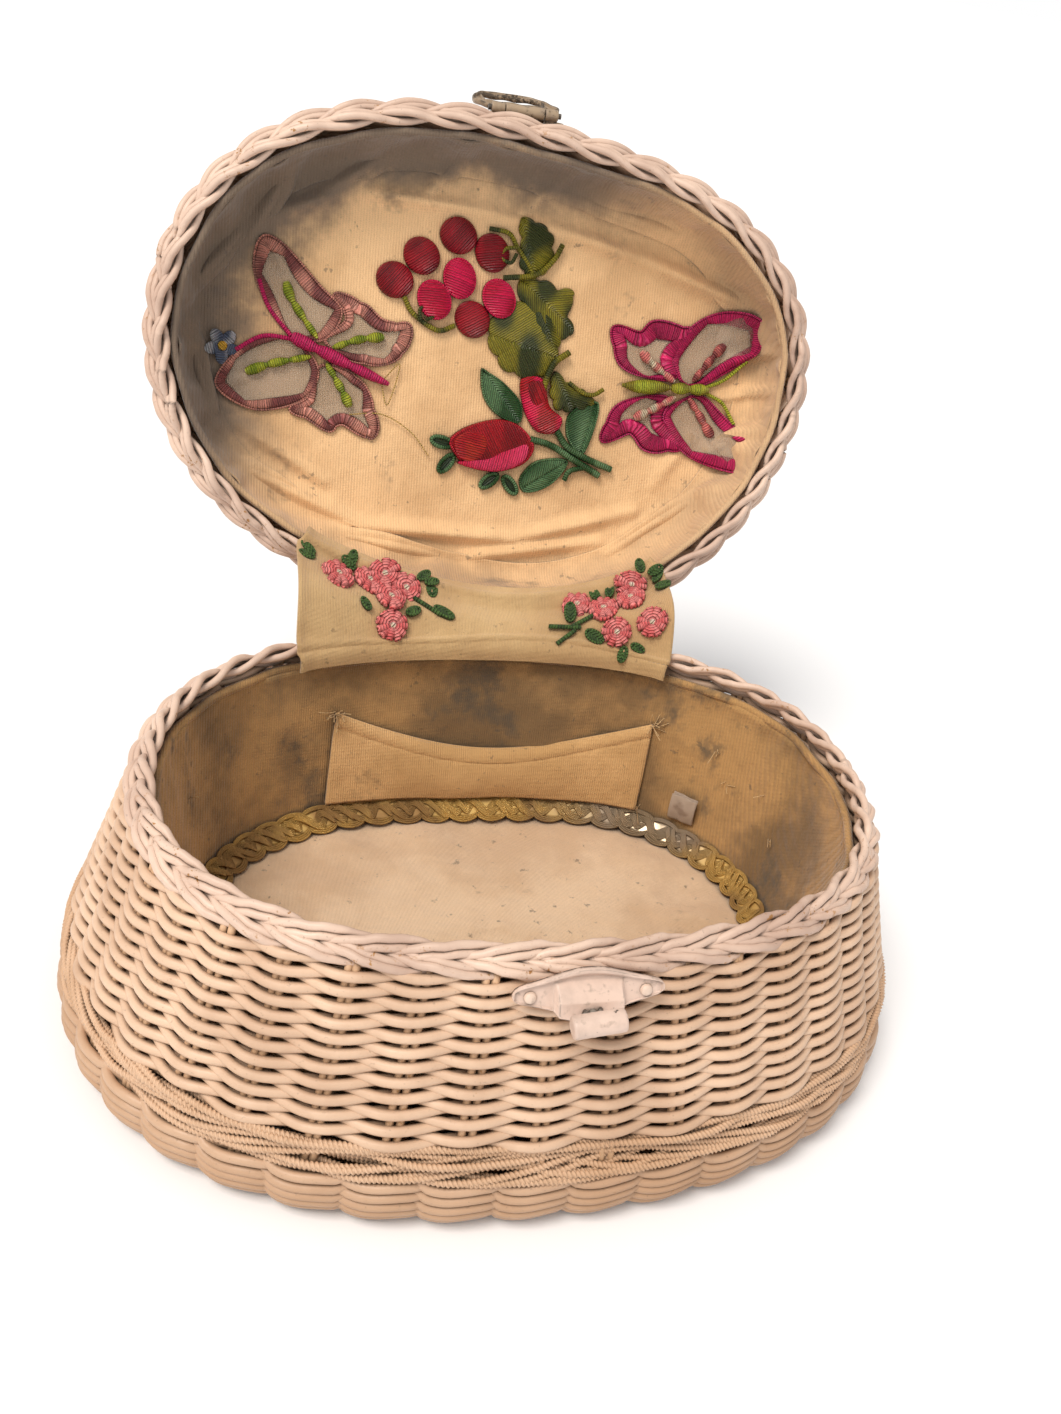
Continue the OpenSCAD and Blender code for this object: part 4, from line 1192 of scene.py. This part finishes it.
def on_strip(x, v):
    """A place function for stitches on the hinge strip, at x and a share v up it."""
    p, ex, ev, n = strip_frame(np.float64(x), np.float64(v))
    if n @ np.array([0, -1, 1]) < 0:
        n = -n
    return lambda xy, z: p + xy[..., :1] * ex + xy[..., 1:2] * ev + np.asarray(z)[..., None] * n + 0.9 * n


def crochet_flower(sewn, turn, size):
    """Eleven petals that fork at their tips, round a cream middle."""
    petals = 11
    for k in range(petals):
        a = math.radians(turn) + TAU * k / petals + RANDOM.normal(0, 0.05)
        d = np.array([math.cos(a), math.sin(a)])
        reach = size * RANDOM.uniform(0.93, 1.05)
        sewn.cord([d * 0.9, d * reach * 0.6, d * reach],
                  lambda s: size * (0.13 + 0.12 * np.sin(math.pi * np.clip(s, 0.05, 0.93)) + 0.07 * s),
                  CORAL, 1.3 + 0.25 * (k % 2), CORAL_LIGHT, 3.0, k)
        for side in (-1, 1):
            tip = d * reach * 0.93 + np.array([-d[1], d[0]]) * side * size * 0.13
            sewn.patch(circle(*tip, size * 0.15), 1.1, CORAL, 0.7, CORAL_LIGHT, 2.0, k, rings=4)
    sewn.patch(circle(0, 0, size * 0.27), 1.2, CREAM_THREAD, 1.5, srgb(246, 226, 206), 1.0, rings=5)


def small_leaf(sewn, turn, size):
    reach = toward(turn) * size
    sewn.patch(circle(*(reach / 2), size / 2, size * 0.27, turn), 1.3, FLOWER_LEAF, 0.6, STEM_GREEN, 2.0,
               turn, rib=((0, 0), reach), rings=6)
    sewn.cord(circle(*(reach / 2), size * 0.46, size * 0.23, turn), 0.5, FLOWER_LEAF, 1.1, closed=True)


def small_stem(sewn, turn, size):
    reach = toward(turn) * size
    sewn.cord([(0, 0), reach * 0.5, reach], 0.95, FLOWER_LEAF, 1.0, STEM_GREEN, 2.0, 1)


def flower_sprig(node, *items):
    """Little crocheted flowers, leaves and stems on the strip: (x, share up the strip, turn, size)."""
    sewn = Sewn()
    for stitch, places in zip((crochet_flower, small_leaf, small_stem), items):
        for x, v, turn, size in places:
            sewn.place = on_strip(x, v)
            stitch(sewn, turn, size)
    sprig = sewn.mesh(node + "_sewn", WOOL, None, slot="pink_flowers", node=node)
    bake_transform(sprig)


# ---------------------------------------------------------------- trims inside the basket
LINING_IN = smooth_curve([(10, -14.8), (18, -13.8), (50, -7.8), (79, -3.8), (84.6, -4.4)], 8)


def metal_thread():
    """Tarnished gold thread that still glints, greyer towards the back right, with painted shade in the
    grooves of its twist.
    """
    p = Paint("gold_thread", 0.38)
    xyz = p.xyz()
    dull = p.range(p.noise(38, 4, 0.6), 0.42, 0.62)
    # Greyer towards the back right, by position alone.
    grey = p.times(p.range(xyz["X"], 0.02, 0.07), p.range(xyz["Y"], 0.03, 0.055))
    color = p.mix(dull, srgb(238, 198, 118), srgb(168, 130, 78))
    color = p.mix(p.times(grey, 0.8), color, srgb(176, 162, 146))
    twist = p.math("SINE", p.times(p.value("along"), TAU / 0.55))
    # Painted shade in the grooves of the twist.
    color = p.mix(p.range(twist, -1, 0.2, 0.4, 0), color, srgb(96, 70, 36))
    p.link(p.range(dull, 0, 1, 0.5, 0.2), p.bsdf.inputs["Metallic"])
    p.bump(twist, 0.16)
    return p.done(color, p.range(dull, 0, 1, 0.28, 0.6))


def gold_gimp():
    """Flat metallic braid: bundles of fine cords that wave across each other."""
    periods = 54
    u = np.arange(periods * 18) / 18
    t = TAU * u / periods

    def band(across, lift, t=t):
        return oval(-18.0 + 0.8 * across - 0.6 * lift, 19.7 + 0.6 * across + 0.8 * lift, t)

    loose = wave(t, 31, (3, 7, 11), (0.35, 0.3, 0.2))
    paths = []
    for k in range(3):
        phase = TAU * (u * (1, 2 / 3, 3 / 2)[k] + k / 3)
        for j in (-1.5, -0.5, 0.5, 1.5):
            across = (2.6, 3.4, 1.9)[k] * np.sin(phase) + j * 0.75 + loose
            paths.append(band(across, 1.2 + 0.9 * np.cos(phase + 0.5)))
    for j in (0.0, 0.8, 1.6):
        scallop = np.abs(np.sin(math.pi * u)) ** 0.7
        paths.append(band(-2.4 - 2.4 * scallop - j + loose, 1.0 + 0.5 * scallop))
        paths.append(band(2.6 + 1.4 * scallop + 0.6 * j + loose, 1.2 + 0.2 * j + 0 * u))
    tubes("gold_gimp_cords", paths, 0.44, metal_thread(), "basket", sides=6, closed=True,
          slot="gimp", node="gold_gimp")
    a = np.linspace(-4.0, 4.0, 7)[:, None]
    ribbon = band(a * (1 + 0.08 * np.sin(TAU * u))[None] + loose[None], 0.45 + 0 * a, t[None])
    cloth_sheet("gold_gimp_ribbon", ribbon, 0.4, metal_thread(), "basket", True, slot="gimp")


def threads(name, roots, length, material, body, spread=0.6, radius=0.17, **options):
    """Frayed ends: a few short curling threads at each root (place, direction, count)."""
    paths = []
    for place, ahead, count in roots:
        for _ in range(count):
            d = unit(np.asarray(ahead, float) + RANDOM.normal(0, spread, 3))
            curl = RANDOM.normal(0, 0.35, 3)
            s = np.linspace(0, 1, 8)[:, None]
            root = np.asarray(place) + RANDOM.normal(0, 0.7, 3)
            paths.append(root + d * s * length * RANDOM.uniform(0.5, 1.1) + curl * length * s ** 2)
    tubes(name, paths, radius, material, body, sides=5, ref=(0.3, 0.5, 0.8), **options)


def pocket():
    rows, cols = 46, 100
    v, i = np.linspace(0, 1, rows)[:, None], np.linspace(0, 1, cols)[None]
    t = np.radians(118 + 3 * (1 - v) + (53 - 118 - 3 * (1 - v) - 1.5 * (1 - v)) * i)
    top = 45 + 18 * np.abs(2 * i - 1) ** 2.1 + 0.5 * np.sin(9 * i)
    z = 24.4 + (top - 24.4) * v
    below = (1 - v) * (top - 24.4)
    belly = 4.4 * np.sin(math.pi * i) ** 0.8 * np.sin(math.pi * np.clip(0.16 + 0.80 * v, 0, 1)) ** 0.8
    folds = 0.45 * np.sin(19 * i + 2.2 * v) * np.sin(math.pi * i) * (1 - v)
    folds = folds + 0.35 * np.sin(33 * i + 5 * v) * v * (1 - v)
    hem = 0.55 * np.exp(-((below - 2.2) / 1.8) ** 2) - 0.35 * np.exp(-((below - 4.9) / 0.5) ** 2)
    grid = oval(LINING_IN(z) - 2.4 - belly - folds - hem, z, t)
    cloth_sheet("pocket_cloth", grid, 0.9, POCKET, "basket", slot="lining", node="pocket")
    edge = grid[-1] + np.array([0, 0, 0.1])
    tubes("pocket_hem", [edge], 0.85, POCKET, "basket", slot="lining")
    corners = [(grid[-1, 0], (0.3, -0.8, 0.5), 16), (grid[-1, -1], (0.4, -0.7, 0.6), 12),
               (grid[0, -1], (0, -1, 0.3), 5)]
    threads("pocket_frays", corners, 6.5, STRIP, "basket", slot="lining")
    spots = [(oval(LINING_IN(z) - 1.6, np.float64(z), np.radians(a)), (-0.4, -0.8, 0.2), n)
             for a, z, n in ((38, 62, 5), (33, 50, 4), (14, 44, 4), (22, 58, 3), (160, 56, 4))]
    threads("lining_frays", spots, 4.0, STRIP, "basket", slot="lining")


def care_tag():
    """Plain folded tape, sewn in at the pocket's corner."""
    p = Paint("tag_tape", 0.85, 0.2)
    tape = p.math("SINE", p.times(p.xyz()["Z"], TAU / (0.45 * MM)))
    p.bump(tape, 0.12)
    color = p.mix(p.range(p.noise(120, 3), 0.5, 0.7), srgb(198, 176, 156), srgb(158, 132, 112))
    # Painted shade in the hollows between the tape's ribs.
    cloth = p.done(p.mix(p.range(tape, -1, 0, 0.2, 0), color, srgb(150, 130, 118)))
    u, v = np.linspace(-5.5, 5.5, 14)[None], np.linspace(0, 13, 16)[:, None]
    for k, (turn, lean) in enumerate(((-44, 0.16), (-38, 0.42))):
        a = math.radians(turn)
        out = 1.2 * np.sin(math.pi * v / 13) + lean * v * 0.25 + 0.2 * np.sin(u)
        root = oval(LINING_IN(33.0) - 3.2 - 0.8 * k, 27.0, np.radians(40.5))
        x, y = root[0] + u * math.cos(a) + out * math.sin(a), root[1] + u * math.sin(a) - out * math.cos(a)
        grid = np.stack([x, y, 27.0 + v + 0 * u], -1)
        cloth_sheet("care_tag_fold%d" % k, grid, 0.3, cloth, "basket", slot="tag",
                    node="care_tag" if k == 0 else None)


# ---------------------------------------------------------------- latch and hasp
LATCH_LEAN = math.atan2(KNOB_TURN["axis"][2], -KNOB_TURN["axis"][1])
LATCH_ROLL = math.radians(2.5)
KNOB_Y = -3.3                   # the knob's stem, up the plate
KNOB_POS = np.array(KNOB_TURN["pos_m"]) / MM
LATCH_POS = KNOB_POS + KNOB_Y * np.array([math.sin(LATCH_ROLL), -math.cos(LATCH_ROLL) * math.sin(LATCH_LEAN),
                                          -math.cos(LATCH_ROLL) * math.cos(LATCH_LEAN)])
PIN = np.array([HASP_HINGE["pos_m"][0] / MM, -RIM_B - 2.7, LID_Z + 5.8])
HASP_REST = math.radians(160)
KNUCKLE_X = 10.3                # the hasp's knuckles, each side of its middle
BOX_H, KNOB_R, KNOB_W, KNOB_TILT = 5.5, 3.4, 15.6, math.radians(5.5)


def worn_paint(name, paint, steel, chips=0.6, grime=0.5, rubbed=1.0):
    """Thick cream enamel on pressed steel, rubbed through on the edges and high spots, with painted shade in
    its crevices.
    """
    p = Paint(name, 0.42)
    edge = p.node("ShaderNodeNewGeometry").outputs["Pointiness"]
    rub = p.times(p.range(edge, 0.52, 0.6), p.range(p.noise(380, 4, 0.7), 0.4, 0.55))
    chip = p.times(p.range(p.noise(520, 4, 0.7), chips, chips + 0.03), p.range(p.noise(110, 2), 0.5, 0.6))
    bare = p.math("MAXIMUM", p.times(rub, rubbed), chip)
    color = p.mix(p.range(p.noise(90, 4, 0.6), 0.4, 0.7), paint, darker(paint, 0.82))
    color = p.mix(p.range(p.noise(300, 3, 0.65), 0.55, 0.72, 0, grime), color, srgb(150, 132, 116))
    # Painted shade in crevices.
    color = p.mix(p.times(p.crevice(1.6, 0.2, 0.9), 0.8), color, srgb(84, 74, 66))
    color = p.mix(bare, color, steel)
    p.link(p.times(bare, 0.7), p.bsdf.inputs["Metallic"])
    p.bump(p.noise(260, 4), 0.18)
    p.bump(p.math("SUBTRACT", 1.0, bare), 0.12)
    return p.done(color, p.range(bare, 0, 1, 0.42, 0.5))


ENAMEL = worn_paint("latch_enamel", srgb(224, 198, 182), srgb(92, 84, 80), 0.63)
RIVET_ENAMEL = worn_paint("rivet_enamel", srgb(226, 202, 184), srgb(92, 84, 80), 0.7, 0.4, 0.0)
# A darker copy of the cream latch enamel: painted shade, with more grime and more chips.
SHADED_HASP_ENAMEL = worn_paint("shaded_hasp_enamel", srgb(168, 146, 120), srgb(92, 82, 72), 0.54, 0.9)
BARE_STEEL = worn_paint("dull_steel", srgb(140, 134, 126), srgb(92, 84, 76), 0.55, 0.7)
CARD = woven_cloth("grey_card", srgb(168, 160, 148), srgb(150, 140, 128), srgb(110, 100, 88), 0.9,
                   stains=0.66)


def on_latch(p):
    """Latch frame to the basket's: x along the plate, y up it, z out of the wall."""
    p = np.asarray(p, float)
    x = p[..., 0] * math.cos(LATCH_ROLL) - p[..., 1] * math.sin(LATCH_ROLL)
    y = p[..., 0] * math.sin(LATCH_ROLL) + p[..., 1] * math.cos(LATCH_ROLL)
    s, c = math.sin(LATCH_LEAN), math.cos(LATCH_LEAN)
    return LATCH_POS + np.stack([x, y * s - p[..., 2] * c, y * c + p[..., 2] * s], -1)


def on_knob(p):
    p = np.asarray(p, float)
    s, c = math.sin(KNOB_TILT), math.cos(KNOB_TILT)
    x, y = p[..., 0] * c - p[..., 1] * s, KNOB_Y + p[..., 0] * s + p[..., 1] * c
    return on_latch(np.stack([x, y, p[..., 2]], -1))


def on_hasp(p, turn=HASP_REST):
    """Hasp frame at its pin (x along it, z up when closed) to the open lid's place."""
    p = np.asarray(p, float)
    c, s = math.cos(turn), math.sin(turn)
    y, z = p[..., 1] * c + p[..., 2] * s, -p[..., 1] * s + p[..., 2] * c
    return opened(PIN + np.stack([p[..., 0], y, z], -1))


def smooth01(v):
    v = np.clip(v, 0, 1)
    return v * v * (3 - 2 * v)


def pressed_plate(name, wide, low, high, height, place, material, body, thick=0.7, **options):
    """A stamped plate: height(x, y, edge) of its face, with edge 1 at its outline."""
    x = np.sin(np.linspace(-math.pi / 2, math.pi / 2, 150))[None] * wide / 2
    v = np.linspace(-1, 1, 64)[:, None]
    share = np.abs(2 * x / wide)
    bulge = low + (high - low) * np.cos(math.pi / 2 * share) ** 2
    reach = bulge * np.sqrt(np.maximum(0.02, 1 - share ** 12))
    y = v * reach
    edge = np.maximum(np.abs(v), share ** 10 + 0 * v)
    z = height(x + 0 * v, y, edge)
    rows, cols = z.shape
    top = np.dstack([x + 0 * y, y, z]).reshape(-1, 3)
    low_side = top - [0, 0, thick]
    half = rows * cols
    faces = grid_faces(rows, cols).tolist() + grid_faces(rows, cols, start=half)[:, ::-1].tolist()
    corner = (rows - 1) * cols
    loop = [*range(cols), *range(2 * cols - 1, rows * cols, cols), *range(corner + cols - 2, corner - 1, -1),
            *range(corner - cols, 0, -cols)]
    faces += [[a, b, b + half, a + half] for a, b in zip(loop, loop[1:] + loop[:1])]
    make_mesh(name, place(np.concatenate([top, low_side])), faces, material, body, **options)


def lathe(name, profile, place, material, body, sides=56, **options):
    """A turned piece: profile of (along, radius) pairs about the x axis."""
    a = np.arange(sides) * TAU / sides
    ring = np.array([[[x, r * math.cos(t), r * math.sin(t)] for t in a] for x, r in profile])
    faces = grid_faces(len(profile), sides, False, True).tolist()
    faces += end_caps(len(profile), sides)
    return make_mesh(name, place(ring.reshape(-1, 3)), faces, material, body, **options)


def barrel_profile(half, r, soft=0.9):
    """The outline of a barrel with softened rims, as (along, radius) pairs."""
    rim = [(-half + soft * (1 - math.cos(a)), r - soft * (1 - math.sin(a)))
           for a in np.linspace(0, math.pi / 2, 7)[1:]]
    left = [(-half, r * 0.5), (-half, r - soft)] + rim
    waist = [(x, r + 0.05 * math.sin(3 * x)) for x in np.linspace(-half + soft + 0.6, half - soft - 0.6, 12)]
    return left + waist + [(-x, q) for x, q in reversed(left)]


def latch():
    def face(x, y, edge):
        ledge = 1.5 * smooth01((edge - 0.62) / 0.2) * (1 - 0.75 * smooth01((edge - 0.93) / 0.07))
        ledge = ledge * smooth01((y + 1.5) / 3)
        lip = 0.5 * smooth01((edge - 0.84) / 0.08) * (1 - smooth01((edge - 0.95) / 0.05) * 0.8)
        ends = smooth01((10.4 - np.abs(x)) / 0.9)
        ramp = np.clip((4.6 - y) / 4.9, 0, 1) * smooth01((y + 6.6) / 0.8)
        box = (BOX_H - 1.0) * (ramp + 0.04 * np.sin(math.pi * ramp)) * ends
        seat = 0.3 * np.exp(-((np.abs(x) - 17.2) ** 2 + (y - 0.4) ** 2) / 3.2)
        return 1.0 + np.maximum(np.maximum(ledge, lip), box) - seat

    def raised(p):
        return on_latch(np.asarray(p, float) + [0, 1.3, 0])

    def lifted(x, y, edge):
        return face(x, y + 1.3, edge)

    pressed_plate("latch_plate_pressed", 45, 3.1, 7.4, lifted, raised, ENAMEL, "basket",
                  slot="latch_paint", node="latch_plate")

    def knob(p):
        return on_knob(np.asarray(p, float) + [0, 0, BOX_H + 3.4 + KNOB_R])

    lathe("turn_knob_barrel", barrel_profile(KNOB_W / 2, KNOB_R), knob, ENAMEL, "knob", slot="latch_paint",
          node="turn_knob")
    stem = on_knob([(0, 0, z) for z in (3.0, 4.5, 6, 7.5, 9.4)])
    tubes("turn_knob_neck", [stem], 1.3, BARE_STEEL, "knob", sides=20, ref=(1, 0, 0), slot="steel")
    arch = [(2.3 * math.cos(a), 0.3, 5.9 + 3.2 * math.sin(a)) for a in np.linspace(-0.15, math.pi + 0.15, 18)]
    tubes("turn_knob_strap", [on_knob(arch)], 0.75, BARE_STEEL, "knob", ref=(0, 1, 0), squeeze=1.6,
          slot="steel")


def rounded(points, times=3):
    p = np.asarray(points, float)
    for _ in range(times):
        q = np.roll(p, -1, 0)
        p = np.stack([0.82 * p + 0.18 * q, 0.18 * p + 0.82 * q], 1).reshape(-1, 2)
    return p


def hasp():
    def face(x, y, edge):
        return 0.9 + 0.5 * smooth01((edge - 0.8) / 0.1) * (1 - 0.8 * smooth01((edge - 0.94) / 0.06))

    def plate(p):
        p = np.asarray(p, float)
        return on_hasp(np.stack([p[..., 0], 2.7 - p[..., 2], 7.4 + p[..., 1]], -1), 0.0)

    pressed_plate("hasp_plate_pressed", 34, 3.0, 5.6, face, plate, SHADED_HASP_ENAMEL, "lid",
                  slot="latch_paint", node="hasp_plate")
    for k, side in enumerate((-1, 1)):
        at = side * KNUCKLE_X
        lathe("hasp_knuckle%d" % k, barrel_profile(2.5, 2.0, 0.4), lambda p: on_hasp(p + [at, 0, 0], 0.0),
              SHADED_HASP_ENAMEL, "lid", slot="latch_paint")
        tab = on_hasp([(at, 1.7 + 0.15 * v, 4.2 * (1 - v)) for v in np.linspace(0, 1, 8)], 0.0)
        tubes("hasp_tab%d" % k, [tab], 2.4, SHADED_HASP_ENAMEL, "lid", sides=14, ref=(1, 0, 0), slot="latch_paint")
    corners = [(-18.5, -17), (-9, -4.6), (9, -4.6), (18.5, -17), (11.5, -35), (-11.5, -35)]
    outer, _ = resample(rounded(corners), 0.8, True)
    middle = np.array([0, -24.5])
    around = outer - middle
    wide, tall = 12.3 / np.maximum(np.abs(around[:, 0]), 1e-6), 6.7 / np.maximum(np.abs(around[:, 1]), 1e-6)
    reach = np.minimum(wide, tall)
    slot_edge = middle + around * np.minimum(reach, 0.9)[:, None]
    profile = [(0.05, 0.2), (0, 0.2), (0, 2.15), (0.4, 2.2), (0.72, 2.15), (0.88, 2.0), (0.97, 1.5),
               (1.0, 0.8), (1.0, 0.0), (0.92, 0.0), (0.9, 0.8), (0.84, 1.3), (0.5, 1.45), (0.08, 1.4)]
    loops = np.stack([np.column_stack([slot_edge * (1 - s) + outer * s, np.full(len(outer), h)])
                      for s, h in profile])
    dents = 0.18 * np.sin(loops[..., 0] * 0.7) * np.cos(loops[..., 1] * 0.5)
    local = np.stack([loops[..., 0], -0.4 - loops[..., 2] + dents, loops[..., 1]], -1)
    make_mesh("hasp_leaf_pressed", on_hasp(local.reshape(-1, 3)),
              grid_faces(len(profile), len(outer), True, True).tolist(), SHADED_HASP_ENAMEL, "hasp",
              slot="latch_paint", node="hasp_leaf")
    lathe("hasp_leaf_barrel", barrel_profile(7.5, 2.0, 0.4), on_hasp, SHADED_HASP_ENAMEL, "hasp", slot="latch_paint")
    u, v = np.linspace(-7.5, 7.5, 24)[None], np.linspace(0, 1, 10)[:, None]
    tongue = np.stack([u + 0 * v, -1.5 - 0.5 * v + 0 * u, -1.2 - 4.8 * v + 0 * u], -1)
    cloth_sheet("hasp_leaf_tongue", on_hasp(tongue), 0.7, SHADED_HASP_ENAMEL, "hasp", slot="latch_paint")


def dress_cad(material, *nodes):
    """Gives the CAD pieces that stay their material."""
    for node in nodes:
        mesh = frame["nodes"][node].data
        mesh.materials.clear()
        mesh.materials.append(material)
        for face in mesh.polygons:
            face.material_index = 0


build_wicker()
build_linings()
gold_gimp()
pocket()
care_tag()
hinge_strip()
flower_sprig("sprig_left",
             [(-41, 0.80, 10, 6.2), (-31, 0.70, 40, 6.2), (-59, 0.60, 0, 6.2), (-46, 0.64, 20, 5.8),
              (-38, 0.56, 5, 5.8), (-38, 0.40, 30, 6.0)],
             [(-54, 0.72, 100, 7), (-52, 0.70, 150, 7), (-68, 0.66, 150, 7), (-68, 0.64, 190, 7),
              (-27, 0.84, 50, 7), (-24, 0.83, 20, 6), (-20, 0.66, 90, 9), (-20, 0.56, -30, 9),
              (-26, 0.52, -150, 7), (-50, 0.52, -60, 6)],
             [(-28, 0.60, -30, 12)])
flower_sprig("sprig_right",
             [(39, 0.66, 15, 6.0), (49, 0.56, 0, 6.0), (62, 0.78, 25, 6.0), (60, 0.60, 10, 5.8),
              (67, 0.46, 35, 6.0), (54, 0.42, 20, 5.8)],
             [(48, 0.68, 110, 7), (52, 0.68, 70, 7), (68, 0.84, 70, 7), (70, 0.80, 10, 7),
              (70, 0.66, 40, 7), (70, 0.62, -10, 7), (36, 0.48, 95, 9), (42, 0.42, -30, 9),
              (58, 0.34, -100, 7), (60, 0.36, -20, 6)],
             [(40, 0.44, 178, 13), (38, 0.42, -140, 9), (36, 0.44, 30, 10)])
pale_butterfly()
magenta_butterfly()
grape_bunch()
olive_leaves()
rose_sprig()
blue_flower()
latch()
hasp()
dress_cad(CARD, "floor_card", "lid_card")
dress_cad(RIVET_ENAMEL, "latch_rivets")
dress_cad(SHADED_HASP_ENAMEL, "hasp_rivets")
dress_cad(BARE_STEEL, "hasp_pin", "knob_clip", "latch_washers")


# ---------------------------------------------------------------- floor, light and camera
def area_light(name, place, target, size, power, color=(1, 1, 1)):
    data = bpy.data.lights.new(name, "AREA")
    data.shape, data.size, data.energy, data.color = "DISK", size, power, color
    obj = bpy.data.objects.new(name, data)
    bpy.context.scene.collection.objects.link(obj)
    obj.location = place
    obj.rotation_euler = (Vector(target) - Vector(place)).to_track_quat("-Z", "Y").to_euler()


def studio():
    half = 14.0
    floor = make_mesh("floor", [(-half / MM, -half / MM, 0), (half / MM, -half / MM, 0),
                                (half / MM, half / MM, 0), (-half / MM, half / MM, 0)], [(0, 1, 2, 3)],
                      Paint("floor_paint", 0.9).done(srgb(247, 249, 252)), None)
    world = bpy.data.worlds.new("studio")
    bpy.context.scene.world = world
    world.use_nodes = True
    background = world.node_tree.nodes["Background"]
    background.inputs["Color"].default_value = (1, 0.985, 0.97, 1)
    background.inputs["Strength"].default_value = 0.62
    data = bpy.data.lights.new("window", "SUN")
    data.energy, data.angle, data.color = 2.25, math.radians(24), (1, 0.93, 0.85)
    sun = bpy.data.objects.new("window", data)
    bpy.context.scene.collection.objects.link(sun)
    sun.rotation_euler = Vector((0.46, 0.34, -1.0)).to_track_quat("-Z", "Y").to_euler()
    nodes = world.node_tree.nodes
    seen = nodes.new("ShaderNodeBackground")
    seen.inputs["Color"].default_value = (1, 1, 1, 1)
    pick, ray = nodes.new("ShaderNodeMixShader"), nodes.new("ShaderNodeLightPath")
    link = world.node_tree.links.new
    link(ray.outputs["Is Camera Ray"], pick.inputs[0])
    link(background.outputs[0], pick.inputs[1])
    link(seen.outputs[0], pick.inputs[2])
    link(pick.outputs[0], nodes["World Output"].inputs["Surface"])
    area_light("fill", (-0.9, -1.0, 0.8), (0, 0, 0.12), 1.0, 2, (1, 0.96, 0.93))
    bpy.context.scene.view_settings.view_transform = "Standard"


def camera():
    """The camera stands to the left of the front, looks down, and is turned a little on its axis."""
    place = Vector((-105.0, -349.0, 345.8)) * MM
    azimuth, elevation, roll = (math.radians(v) for v in (16.69, 32.08, 10.62))
    look = Vector((math.sin(azimuth) * math.cos(elevation), math.cos(azimuth) * math.cos(elevation),
                   -math.sin(elevation)))
    level = Vector((math.cos(azimuth), -math.sin(azimuth), 0))
    upright = level.cross(look)
    right = level * math.cos(roll) + upright * math.sin(roll)
    up = upright * math.cos(roll) - level * math.sin(roll)
    data = bpy.data.cameras.new("camera")
    data.sensor_width, data.lens = 36.0, 32.8
    data.clip_start, data.clip_end = 0.01, 20
    obj = bpy.data.objects.new("camera", data)
    bpy.context.scene.collection.objects.link(obj)
    obj.matrix_world = Matrix((right, up, -look)).transposed().to_4x4()
    obj.location = place
    bpy.context.scene.camera = obj


studio()
camera()
